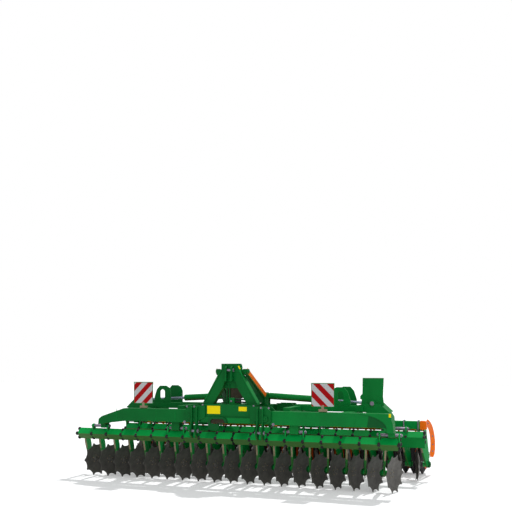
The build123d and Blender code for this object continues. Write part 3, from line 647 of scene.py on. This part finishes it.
def disc_mesh():
    piece = Piece("notched_disc", STEEL_DISC, IRON, BEIGE_AND_EDGE_HIGHLIGHT)
    piece.take(DISH_RULE.grow(bpy.data.meshes.new("seed"), STEEL_DISC), STEEL_DISC, True)
    hub = [(0.0, 0.0), (0.060, 0.0), (0.062, -0.003), (0.062, -0.009), (0.048, -0.012), (0.045, -0.018)]
    hub += [(0.045, -0.030), (0.042, -0.036), (0.040, -0.0398), (0.0, -0.0398)]
    piece.turned([(radius, height - DISH - STEEL) for radius, height in hub], None, IRON, 36)
    cap = [(0.026, -0.0005), (0.024, 0.003), (0.018, 0.0065), (0.0, 0.008)]
    piece.turned([(radius, height - DISH) for radius, height in cap], None, STEEL_DISC, 28)
    for k in range(5):
        a = 2 * math.pi * (k + 0.5) / 5
        spot = Vector((0.052 * math.cos(a), 0.052 * math.sin(a), -DISH))
        piece.nut(spot, (0, 0, 1), 0.0062, 0.0050, BEIGE_AND_EDGE_HIGHLIGHT)
        piece.nut(spot + Vector((0, 0, -STEEL - 0.0085)), (0, 0, -1), 0.0085, 0.006, IRON)
    return piece.mesh()


def disc_places():
    """Name, row, side, X and turned frame of every disc; the frame's origin is the middle of the rim."""
    found = []
    down = Vector((0, 0, -1))
    for row in ROWS:
        turn = math.radians(row.toe)
        axle = Vector((row.looks * math.cos(turn), -math.sin(turn), 0))
        for number in range(ROW_DISCS):
            x = row.first + number * PITCH
            side = "left" if x + row.looks * (PITCH / 2 - 0.085) < 0 else "right"
            at = placed(down, axle.cross(down), axle, (x, row.y, HUB_Z))
            found.append(Disc(f"disc_{row.name}_{number + 1:02d}", row, side, x, at))
    return found


DISCS = disc_places()
dish = disc_mesh()
for disc in DISCS:
    obj = bpy.data.objects.new(f"{disc.name}_dish", dish)
    bpy.context.scene.collection.objects.link(obj)
    obj.matrix_world = disc.at
    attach(obj, f"{disc.name}_body")
    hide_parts(disc.name)

# Materials of the CAD nodes that stay
LOOKS = {
    # Centre frame and tower take the darker copy of the green: painted shade.
    "centre_frame": GREEN_PAINTED_SHADE,
    "tower": GREEN_PAINTED_SHADE,
    "wing_frame": GREEN,
    # The left wing's frame takes the darker copy too: painted shade on its front.
    "wing_frame_left": GREEN_PAINTED_SHADE,
    # Disc carriers and roller frame take the lighter copy of the green: painted light.
    "disc_carriers": GREEN_PAINTED_LIT,
    "roller_frame": GREEN_PAINTED_LIT,
    "scrapers": ORANGE,
    "warning_board": GREEN,
    "cylinder_barrel": GREEN,
    "cylinder_rod": CHROME,
}
for name, obj in frame["nodes"].items():
    for key, mat in LOOKS.items():
        if name == key or name.startswith(key + "_"):
            obj.data.materials.clear()
            obj.data.materials.append(mat)
            soften(obj, 0.003)


def side_span(sign, near, far):
    """The low and the high X of what reaches from near to far on one side."""
    return sorted((sign * near, sign * far))


# Housings' caps and collars, pale strips along the arms' front edges as painted highlight, and the bolts of
# the clamp shells
for side, sign in SIDES:
    caps = Piece(f"arm_fittings_{side}", IRON, BEIGE_AND_EDGE_HIGHLIGHT, ZINC, GREEN_PAINTED_DEEP_SHADE)
    dome = [(0, 0.004), (0.0395, 0.004), (0.0375, -0.0001), (0.032, -0.0013), (0.020, -0.0042), (0, -0.0085)]
    collar = [(0, 0.009), (0.0475, 0.009), (0.0495, 0.006), (0.0495, -0.006), (0.0475, -0.009), (0, -0.009)]
    housing = -DISH - STEEL - HUB_LENGTH - HUB_GAP
    for disc in DISCS:
        if disc.side != side:
            continue
        end = housing - HOUSING_LENGTH
        caps.turned(dome, disc.at @ Matrix.Translation((0, 0, end)), IRON, 28)
        caps.turned(collar, disc.at @ Matrix.Translation((0, 0, end + 0.022)), GREEN_PAINTED_DEEP_SHADE, 32)
        # The arm's own frame: along the arm, out of its face, up
        start = Vector((disc.x - disc.row.looks * ARM_OFFSET, disc.row.y - BEAM_LEAD + ARM_LEAD, 0))
        cross = disc.at @ Vector((0, 0, housing - HOUSING_CROSS))
        along = Vector((cross.x - start.x, cross.y - start.y, 0))
        bend = along.length * 0.24
        along.normalize()
        face = placed(along, Vector((along.y, -along.x, 0)), Vector((0, 0, 1)), start)
        # A pale strip along the arm's front edge: painted highlight where the edge catches the light.
        edge = [(-0.0175, 0.602), (-0.002, 0.521), (bend - 0.002, 0.421), (bend + 0.002, 0.421)]
        edge += [(0.002, 0.522), (-0.012, 0.606)]
        caps.prism(edge, "Y", -0.0115, 0.0115, BEIGE_AND_EDGE_HIGHLIGHT, face)
        for on_arm, z in ((0.030, 0.628), (0.075, 0.610)):
            for out in (1, -1):
                spot = face @ Vector((on_arm, out * 0.013, z))
                caps.bolt(spot, face.to_3x3() @ Vector((0, out, 0)), 0.009, ZINC)
    caps.make(f"wing_{side}", slot="disc_steel")

# Bars with rubber cords that bulge between the shells, collars, lugs and their grooved pins
BULGE = [(0, -0.020), (0.017, -0.019), (0.026, -0.011), (0.028, 0), (0.026, 0.011), (0.017, 0.019), (0, 0.02)]
HALF_LUG = [(0.033, 0.681), (0.040, 0.770), (0.036, 0.783), (0.018, 0.795)]
HALF_GAP = (PITCH - SHELL) / 2
HALF_BAR = 0.033
for side, sign in SIDES:
    bars = Piece(f"bars_{side}", GREEN_PAINTED_DEEP_SHADE, BLACK, GREEN_PAINTED_LIT, ZINC)
    for row in ROWS:
        y = row.y - BEAM_LEAD
        mine = [disc.x - row.looks * SHIFT for disc in DISCS if disc.side == side and disc.row is row]
        low, high = min(mine) - SHELL / 2, max(mine) + SHELL / 2
        gap = row.first + row.looks * (SHELL / 2 - SHIFT + HALF_GAP)
        gaps = sorted(sign * (gap + PITCH * n) for n in range(ROW_DISCS + 1))
        inner = min(x for x in gaps if x > INNER_FOOT)
        outer = min(x for x in gaps if x > OUTER_FOOT)
        far = outer + PITCH + 0.008
        x0, x1 = (min(low, -far), high) if side == "left" else (low, max(high, far))
        # The bar's core in the darkest green: painted shade in the gaps between the shells.
        bars.box((x0, y - HALF_BAR, BEAM_Z - HALF_BAR), (x1, y + HALF_BAR, BEAM_Z + HALF_BAR), GREEN_PAINTED_DEEP_SHADE)
        # A collar in the lighter green in each gap between the shells: painted light on the bar there.
        collar = Piece("collar")
        corners = [(y - 0.075, BEAM_Z), (y, BEAM_Z - 0.075), (y + 0.075, BEAM_Z), (y, BEAM_Z + 0.075)]
        collar.prism(corners, "X", -0.0105, 0.0105)
        first = (min(mine) + SHELL / 2 + HALF_GAP, 0, 0)
        bars.repeat(collar, len(mine) - 1, PITCH, first, GREEN_PAINTED_LIT, False)
        for dy, dz in ((1, 0), (-1, 0), (0, 1), (0, -1)):
            cord_y, cord_z = y + dy * CORD, BEAM_Z + dz * CORD
            bars.rod((x0, cord_y, cord_z), (x1, cord_y, cord_z), 0.0143, BLACK, 16, 0.003)
            bulge = Piece("bulge")
            bulge.turned(BULGE, TO_X, count=20)
            reach = CORD + 0.0150
            first = (min(mine) - SHELL / 2 - HALF_GAP, y + dy * reach, BEAM_Z + dz * reach)
            bars.repeat(bulge, len(mine) + 1, PITCH, first, BLACK)
        lug = [(y - half, z) for half, z in HALF_LUG] + [(y + half, z) for half, z in HALF_LUG[::-1]]
        for near in (inner, outer):
            pair = (sign * near, sign * (near + PITCH))
            for x in pair:
                bars.prism(lug, "X", x - 0.008, x + 0.008, GREEN_PAINTED_LIT)
                bars.rod((x - 0.0115, y, LUG_Z), (x + 0.0115, y, LUG_Z), 0.030, GREEN_PAINTED_LIT, 28)
            low_x, high_x = min(pair) - 0.022, max(pair) + 0.022
            bars.rod((low_x, y, LUG_Z), (high_x, y, LUG_Z), 0.0195, ZINC, 28, 0.003)
            for end, out in ((low_x, -1), (high_x, 1)):
                bars.boss((end, y, LUG_Z), (out, 0, 0), 0.004, 0.0245, ZINC, 28, 0.0015)
                bars.nut((end + out * 0.004, y, LUG_Z), (out, 0, 0), 0.013, 0.009, ZINC)
    bars.make(f"wing_{side}", 0.0015, 1, [f"disc_bars_{side}"], slot="bar_and_rubber")

# Rollers: rubber wedge rings on an orange drum; the innermost ring is cut narrower at its root
WEDGE = [(0.208, -0.047), (0.218, -0.046), (0.240, -0.034), (0.268, -0.017), (0.281, -0.009), (0.288, -0.004)]
OTHER_HALF = [(radius, -away) for radius, away in WEDGE[::-1]]
for side, sign in SIDES:
    roller = Piece(f"ring_roller_{side}", DRUM, BLACK, IRON)
    axle = Matrix.Translation((0, AXLE_Y, RING_R)) @ Matrix.Rotation(math.radians(90 * sign), 4, "Y")
    drum = [(0, 0.036), (0.205, 0.036), (0.209, 0.040), (0.209, 2.366), (0.205, 2.370), (0, 2.370)]
    roller.turned(drum, axle, DRUM, 72)
    ring = Piece("ring")
    ring.turned([(0.208, -0.0265)] + WEDGE[2:] + OTHER_HALF, TO_X, count=72)
    roller.repeat(ring, 1, RING_PITCH, (sign * 0.5 * RING_PITCH, AXLE_Y, RING_R), BLACK)
    ring = Piece("ring")
    ring.turned(WEDGE + OTHER_HALF, TO_X, count=72)
    first = min(side_span(sign, 1.5 * RING_PITCH, 18.5 * RING_PITCH))
    roller.repeat(ring, 18, RING_PITCH, (first, AXLE_Y, RING_R), BLACK)
    for near, far in ((0.021, 0.036), (2.368, 2.411)):
        roller.turned([(0, near), (0.0345, near), (0.0345, far), (0, far)], axle, IRON, 32)
    for near in (0.0355, 2.3705):
        far = near + 0.003
        washer = [(0.05, near), (0.12, near), (0.12, far), (0.05, far)]
        roller.turned(washer, axle, IRON, 40, closed=True)
    roller.make(f"roller_{side}_body", replaces=[f"roller_{side}"], slot="roller")

# Scraper bars' front lips with their bolts
LIP_Y, LIP_LOW, LIP_HIGH = FRONT_Y + 1.470, 0.684, 0.714
for side, sign in SIDES:
    lip = Piece(f"scraper_lip_{side}", ORANGE, ZINC)
    x0, x1 = side_span(sign, 0.07, 2.32)
    lip.box((x0, LIP_Y, LIP_LOW), (x1, LIP_Y + 0.005, LIP_HIGH), ORANGE)
    for number in range(9):
        spot = (sign * (0.17 + PITCH * number), LIP_Y, (LIP_LOW + LIP_HIGH) / 2)
        lip.bolt(spot, (0, -1, 0), 0.006, ZINC)
    lip.make(f"wing_{side}", 0.001, 1, slot="orange_paint")

# Guards: a bent strip with bolts, on a block round the cross tube's end
STRIP = [(2.426, 0.020, 0.815), (2.432, 0.130, 0.800), (2.448, 0.270, 0.735), (2.460, 0.380, 0.630)]
STRIP += [(2.464, 0.455, 0.500), (2.458, 0.485, 0.370), (2.444, 0.480, 0.262)]
STRIP_HALF, STRIP_END_HALF, STRIP_SKIN = 0.050, 0.038, 0.003


def strip_axes(line, i, sign):
    """The strip's direction at one point of its line, and the way that its face looks there."""
    run = (line[min(i + 1, len(line) - 1)] - line[max(i - 1, 0)]).normalized()
    out = Vector((sign * 0.80, -0.60, 0.0))
    return run, (out - run * out.dot(run)).normalized()


for side, sign in SIDES:
    guard = Piece(f"guard_{side}", ORANGE, ZINC)
    line = smooth_path([(sign * x, TUBE_Y + y, z) for x, y, z in STRIP])
    last = len(line) - 1
    verts, faces = [], []
    for i, spot in enumerate(line):
        run, out = strip_axes(line, i, sign)
        across = run.cross(out) * (STRIP_HALF if i < last - 1 else STRIP_END_HALF)
        skin = out * STRIP_SKIN
        verts += [spot + across + skin, spot - across + skin, spot - across - skin, spot + across - skin]
    for i in range(0, 4 * last, 4):
        faces += [(i + a, i + b, i + 4 + b, i + 4 + a) for a, b in ((0, 1), (1, 2), (2, 3), (3, 0))]
    faces += [(0, 3, 2, 1), tuple(4 * last + k for k in range(4))]
    if sign < 0:
        faces = [f[::-1] for f in faces]
    guard.add(verts, faces, ORANGE)
    x0, x1 = side_span(sign, 2.400, 2.430)
    guard.box((x0, TUBE_Y - 0.058, TUBE_Z - 0.058), (x1, TUBE_Y + 0.058, TUBE_Z + 0.058), ORANGE)
    x0, x1 = side_span(sign, 2.340, 2.402)
    y0, y1, z0, z1 = TUBE_Y - 0.060, TUBE_Y + 0.060, TUBE_Z - 0.062, TUBE_Z + 0.062
    guard.prism([(y0, z0), (y1, z0), (y1, z1), (y0, z1)], "X", x0, x1, ORANGE)
    for i in (3, 6, 20, 26, 31):
        out = strip_axes(line, i, sign)[1]
        guard.bolt(line[i] + out * STRIP_SKIN, out, 0.009, ZINC)
    guard.make(f"wing_{side}", 0.002, 2, [f"end_guard_{side}"], slot="orange_paint")

# Warning boards' striped faces, their brackets' ends and screws
BOARD_EDGE, BOARD_FACE = 0.008, 0.0018
for side, sign in SIDES:
    x, y = sign * BOARD_X, BOARD_Y
    half = BOARD_SIDE / 2 - BOARD_EDGE
    low, high = BOARD_LOW + BOARD_EDGE, BOARD_LOW + BOARD_SIDE - BOARD_EDGE
    board = Piece(f"board_face_{side}", BOARD[side], BEIGE_AND_EDGE_HIGHLIGHT, ZINC)
    board.box((x - half, y - BOARD_FACE, low), (x + half, y + 0.001, high), BOARD[side])
    board.box((x - 0.055, y - 0.004, 1.048), (x + 0.055, y + 0.030, 1.082), BEIGE_AND_EDGE_HIGHLIGHT)
    board.box((x - 0.018, y - 0.003, 1.080), (x + 0.018, y + 0.004, 1.134), BEIGE_AND_EDGE_HIGHLIGHT)
    for dx in (-0.10, 0.10):
        board.bolt((x + dx, y - BOARD_FACE, 1.30), (0, -1, 0), 0.0035, ZINC)
    board.make(f"wing_{side}", 0.0008, 1, slot="warning_board")


# Wing fittings
def right_plates(fit, face):
    """What the right wing alone has: crescent plate at the neck, marker's foot, end panel with ribs."""
    outer = [(1.80, 1.040), (2.195, 1.040), (2.212, 0.958), (2.225, 0.918), (2.232, 0.802), (2.156, 0.802)]
    arc = [(2.152, 0.850), (2.138, 0.895), (2.108, 0.935), (2.060, 0.968), (2.000, 0.995), (1.930, 1.015)]
    arc += [(1.860, 1.027)]
    fit.prism(outer + arc, "Y", face - 0.014, face + 0.001, GREEN)
    # A thin sheet of the darkest green under the crescent's arc: painted shadow of the crescent plate on the
    # box's face.
    hollow = [(1.90, 0.866), (2.120, 0.866), (2.140, 0.850), (2.148, 0.855), (2.130, 0.900), (2.098, 0.934)]
    hollow += [(2.050, 0.964), (1.985, 0.992), (1.92, 1.010)]
    fit.prism(hollow, "Y", face - 0.0015, face + 0.001, GREEN_PAINTED_DEEP_SHADE)
    fit.box((2.176, face - 0.0155, 0.998), (2.204, face - 0.013, 1.044), YELLOW)
    foot = [(1.668, 1.235), (1.655, 1.100), (1.972, 1.100), (1.956, 1.225)]
    fit.prism(foot, "Y", CYL_Y - 0.0635, CYL_Y - 0.0565, GREEN)
    y = REAR_Y - BEAM_LEAD - 0.085
    fit.box((2.145, y - 0.003, 0.512), (2.478, y + 0.003, 0.655), GREEN)
    rib = [(y, 0.520), (y + 0.040, 0.606), (y + 0.008, 0.648), (y, 0.650)]
    for x in (2.16, 2.31, 2.46):
        fit.prism(rib, "X", x - 0.003, x + 0.003, GREEN)
    for x in (1.705, 1.822, 1.936):
        fit.bolt((x, CYL_Y - 0.058, 1.196), (0, -1, 0), 0.006, ZINC)


EYE_X, EYE_Z = 1.815, 1.130
for side, sign in SIDES:
    face = BOX_Y - BOX_HALF
    fit = Piece(f"wing_fittings_{side}", GREEN, ZINC, YELLOW, GREEN_PAINTED_DEEP_SHADE)
    if side == "right":
        right_plates(fit, face)
    # Bosses and pins of the ears that hold the cylinder rod's eye
    for out, head in ((-1, 0.122), (1, 0.070)):
        x, head_y = sign * EYE_X, CYL_Y + out * head
        fit.rod((x, CYL_Y + out * 0.050, EYE_Z), (x, head_y, EYE_Z), 0.045, GREEN, 32)
        fit.boss((x, head_y, EYE_Z), (0, out, 0), 0.003, 0.030, ZINC, 28, 0.001)
        fit.nut((x, head_y + out * 0.003, EYE_Z), (0, out, 0), 0.020, 0.012, ZINC)
    fit.bolt((sign * 0.651, face, 0.868), (0, -1, 0), 0.014, ZINC)
    # Seams of the front box's plates
    for x in (0.80, 1.10, 1.75):
        fit.box((sign * x - 0.003, face - 0.002, 0.866), (sign * x + 0.003, face + 0.001, 1.034), GREEN)
    # Collars of the fold hinges, in the darkest green: painted shade
    for box_y in (BOX_Y, REAR_BOX_Y):
        for out in (-1, 1):
            spot = (sign * HINGE_X, box_y + out * BOX_HALF, HINGE_Z)
            fit.boss(spot, (0, out, 0), 0.0035, 0.048, GREEN_PAINTED_DEEP_SHADE, 32, 0.001)
    fit.make(f"wing_{side}", 0.0012, 1, slot="green_paint")

# Roller frame fittings: clamps round the cross tube and the outer bearings
BOLT_R = 0.009
HALF_BOW = [(TUBE_HALF + BOLT_R, -TUBE_HALF - 0.035), (TUBE_HALF + BOLT_R, TUBE_HALF - 0.006)]
HALF_BOW += [(TUBE_HALF - 0.004, TUBE_HALF + BOLT_R)]
BOW = [(-y, z) for y, z in HALF_BOW] + HALF_BOW[::-1]
BEARING = [(0, 0), (0.060, 0), (0.060, 0.008), (0.046, 0.016), (0.036, 0.018), (0, 0.018)]
for side, sign in SIDES:
    clamps = Piece(f"tube_clamps_{side}", ZINC, GREEN)
    under = TUBE_Z - TUBE_HALF
    for x in (0.905, 1.805, 2.105, 2.312):
        for dx in (-0.022, 0.022) if x < 2.0 else (0.0,):
            bolt_x = sign * x + dx
            clamps.tube([(bolt_x, TUBE_Y + y, TUBE_Z + z) for y, z in BOW], BOLT_R, ZINC)
            for y in (-TUBE_HALF - BOLT_R, TUBE_HALF + BOLT_R):
                clamps.nut((bolt_x, TUBE_Y + y, under - 0.030), (0, 0, -1), 0.016, 0.014, ZINC)
        half_y = TUBE_HALF + 0.024
        low = (sign * x - 0.045, TUBE_Y - half_y, under - 0.024)
        high = (sign * x + 0.045, TUBE_Y + half_y, under - 0.012)
        clamps.box(low, high, GREEN)
    at = Matrix.Translation((sign * 2.396, AXLE_Y, RING_R)) @ Matrix.Rotation(math.radians(90 * sign), 4, "Y")
    clamps.turned(BEARING, at, GREEN, 32)
    for k in range(4):
        a = math.pi / 4 + k * math.pi / 2
        spot = (sign * 2.404, AXLE_Y + 0.050 * math.cos(a), RING_R + 0.050 * math.sin(a))
        clamps.nut(spot, (sign, 0, 0), 0.009, 0.007, ZINC)
    clamps.make(f"wing_{side}", 0.001, 1, slot="green_paint")

# Centre: yellow plates, bolts, hinge bosses and the lower links' pins
front = BOX_Y - BOX_HALF
mid = Piece("centre_fittings", GREEN_PAINTED_SHADE, ZINC, YELLOW, GREEN_PAINTED_DEEP_SHADE, GREEN, PAINTED_SHADE_BROWN)
mid.box((0.158, front - 0.0015, 1.035), (0.276, front + 0.001, 1.094), YELLOW)
mid.box((-0.308, front - 0.0015, 0.990), (-0.113, front + 0.001, 1.100), YELLOW)
for side, sign in SIDES:
    for x, y, z in ((0.375, front, 1.108), (0.489, front - 0.029, 1.086), (0.600, front - 0.029, 1.086)):
        mid.bolt((sign * x, y, z), (0, -1, 0), 0.010, ZINC)
    for hinge_y in (BOX_Y, REAR_BOX_Y):
        for out in (-1, 1):
            x, y = sign * HINGE_X, hinge_y + out * 0.120
            mid.boss((x, y, HINGE_Z), (0, out, 0), 0.006, 0.040, GREEN_PAINTED_SHADE, 32, 0.0015)
            mid.nut((x, y + out * 0.006, HINGE_Z), (0, out, 0), 0.016, 0.012, GREEN_PAINTED_SHADE)
    # Removable pin of the lower link with its head and its clip, and the collars of the bores
    link = Vector((sign * LINK_X, LINK_Y, LINK_Z))
    tip, neck, head = (link + Vector((x, 0, 0)) for x in (-0.068, 0.062, 0.070))
    mid.rod(tip, neck, 0.0182, ZINC, 28)
    mid.rod(neck, head, 0.028, ZINC, 28)
    mid.rod(link + Vector((-0.060, -0.030, 0)), link + Vector((-0.060, 0.030, 0)), 0.0035, ZINC, 10)
    for out in (-1, 1):
        mid.boss((link.x + out * 0.048, link.y, link.z), (out, 0, 0), 0.006, 0.034, GREEN_PAINTED_SHADE, 28, 0.0015)
# The pressed lower lip of the crossbeam
lip = [(0.015, 0.874), (0.329, 0.874), (0.329, 0.940), (-0.010, 0.940)]
mid.prism(lip, "Y", front - 0.0235, front - 0.0185, GREEN)
# The bow of the coupling hook under the crossbeam, in the darkest green: painted shade
bow = [(-0.275, 0.775), (-0.275, 0.905), (-0.255, 0.938), (-0.225, 0.952), (-0.060, 0.952), (-0.025, 0.935)]
bow += [(0.000, 0.905), (0.000, 0.866)]
inner = [(-0.030, 0.866), (-0.032, 0.892), (-0.060, 0.924), (-0.215, 0.924), (-0.245, 0.900), (-0.245, 0.862)]
inner += [(-0.130, 0.852), (-0.105, 0.825), (-0.130, 0.775)]
mid.prism(bow + inner, "Y", front - 0.040, front - 0.019, GREEN_PAINTED_DEEP_SHADE)
# A thin brown sheet inside the bow: painted shade in its opening.
recess = [(-0.030, 0.8665), (-0.034, 0.892), (-0.062, 0.923), (-0.213, 0.923), (-0.244, 0.900)]
recess += [(-0.244, 0.8665)]
mid.prism(recess, "Y", front - 0.0225, front - 0.0185, PAINTED_SHADE_BROWN)
mid.make("root", 0.0012, 1, slot="green_paint")

# Tower fittings: top link's pin, top plate, legs' edges, stays' strips and webs, valve block and its pipes
tower = Piece("tower_fittings", GREEN_PAINTED_SHADE, ZINC, YELLOW, ORANGE, GREEN_PAINTED_DEEP_SHADE, PLASTIC, GREEN, PAINTED_SHADE_BROWN)
top = Vector((0, TOP_Y, TOP_Z))
tip, neck, head = (top + Vector((x, 0, 0)) for x in (-0.062, 0.062, 0.070))
tower.rod(tip, head, 0.0158, ZINC, 28)
tower.rod(neck, head, 0.025, ZINC, 28)
for z in (TOP_Z, TOP_LOW_Z):
    for out in (-1, 1):
        tower.boss((out * 0.052, TOP_Y, z), (out, 0, 0), 0.006, 0.028, GREEN_PAINTED_SHADE, 28, 0.0015)
face = TOWER_Y - 0.050
plate = [(-0.100, 1.662), (-0.070, 1.676), (0.150, 1.676), (0.176, 1.664), (0.186, 1.620), (0.176, 1.590)]
plate += [(0.128, 1.590), (0.128, 1.560), (-0.100, 1.560)]
tower.prism(plate, "Y", face - 0.006, face + 0.002, GREEN_PAINTED_SHADE)
small_plate = [(0.118, 1.640), (0.136, 1.648), (0.160, 1.606), (0.142, 1.598)]
tower.prism(small_plate, "Y", face - 0.0075, face - 0.005, YELLOW)
# A leg's raised edge; its flange is cut back at the foot, where the folded wing's deck plate comes past
EDGE = [(0.403, CROSS_HIGH), (0.128, 1.590), (0.121, 1.586), (0.394, CROSS_HIGH)]
FLANGE = [(0.4015, 1.1225), (0.127, 1.590), (0.136, 1.594), (0.3965, 1.1485)]
STRIP_FROM, STRIP_TO = (0.030, 1.604), (0.556, 1.250)
WEB = [(0.0, 1.555), (0.548, 1.236), (0.548, CROSS_HIGH), (0.300, CROSS_HIGH), (0.0, 1.400)]
splay = math.atan((STAY_FOOT_X - STAY_TOP_X) / STAY_RUN)
for out in (-1, 1):
    for points, back, mat in ((EDGE, 0.001, GREEN_PAINTED_SHADE), (FLANGE, 0.098, GREEN)):
        tower.prism([(out * x, z) for x, z in points], "Y", face - 0.010, face + back, mat)
    # The strip on the stay's outer side and the web below it; the web is in the darkest green as painted
    # shade
    run = Vector((out * math.sin(splay), math.cos(splay), 0))
    start = Vector((out * STAY_TOP_X, TOWER_Y + 0.020, 0))
    a, b = (start + run * away + Vector((0, 0, z)) for away, z in (STRIP_FROM, STRIP_TO))
    down = (b - a).normalized()
    flat = Vector((run.y, -run.x, 0))
    low_y, high_y = side_span(out, 0.0215, 0.0235)
    strip_end = (b - a).length - 0.010
    slanted = placed(down, flat, flat.cross(down), a)
    upright = placed(run, flat, Vector((0, 0, 1)), start)
    tower.box((-0.026, low_y, -0.060), (strip_end, high_y, -0.001), ORANGE, slanted)
    tower.prism(WEB, "Y", -0.006, 0.006, GREEN_PAINTED_DEEP_SHADE, upright)
tower.boss((0.222, TOWER_Y + 0.020, STAY_TOP_Z), (1, 0, 0), 0.030, 0.0335, GREEN_PAINTED_SHADE, 32, 0.003)
# The valve block and two zinc pins
tower.box((-0.040, TOWER_Y + 0.010, CROSS_HIGH), (0.040, TOWER_Y + 0.090, 1.205), GREEN)
tower.boss((-0.005, TOWER_Y + 0.010, 1.160), (0, -1, 0), 0.012, 0.014, ZINC, 20)
tower.boss((0.050, TOWER_Y + 0.050, 1.262), (1, 0, 0), 0.055, 0.014, ZINC, 20)
# The bracket plate that hangs behind the tower's window, brown as painted shade, and its two bars in the
# darkest green as painted shade
bracket = [(-0.094, 1.214), (0.150, 1.200), (0.185, 1.225), (0.120, 1.345), (0.098, 1.400), (-0.088, 1.400)]
tower.prism(bracket, "Y", TOWER_Y + 0.030, TOWER_Y + 0.038, PAINTED_SHADE_BROWN)
for x in (-0.072, -0.034):
    tower.box((x - 0.008, TOWER_Y + 0.012, CROSS_HIGH), (x + 0.008, TOWER_Y + 0.032, 1.390), GREEN_PAINTED_DEEP_SHADE)
# Two rigid pipes from the valve block to the right cylinder
for z, off in ((1.186, 0.0), (1.150, 0.034)):
    turns = [(0.038, 0.040, z), (0.110, 0.042, z), (0.180, 0.070, z - 0.006), (0.205 - off, 0.150, z - 0.012)]
    turns += [(0.225 - off, 0.300, 1.152 - off * 0.5), (0.262 - off, 0.470, 1.140 - off * 0.3)]
    turns += [(0.292 - off, 0.600, 1.142), (0.280 - off, 0.697, 1.160)]
    tower.tube(smooth_path([(x, TOWER_Y + y, z) for x, y, z in turns]), 0.011, PLASTIC)
tower.make("root", 0.0015, 1, slot="green_paint")

low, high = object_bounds()
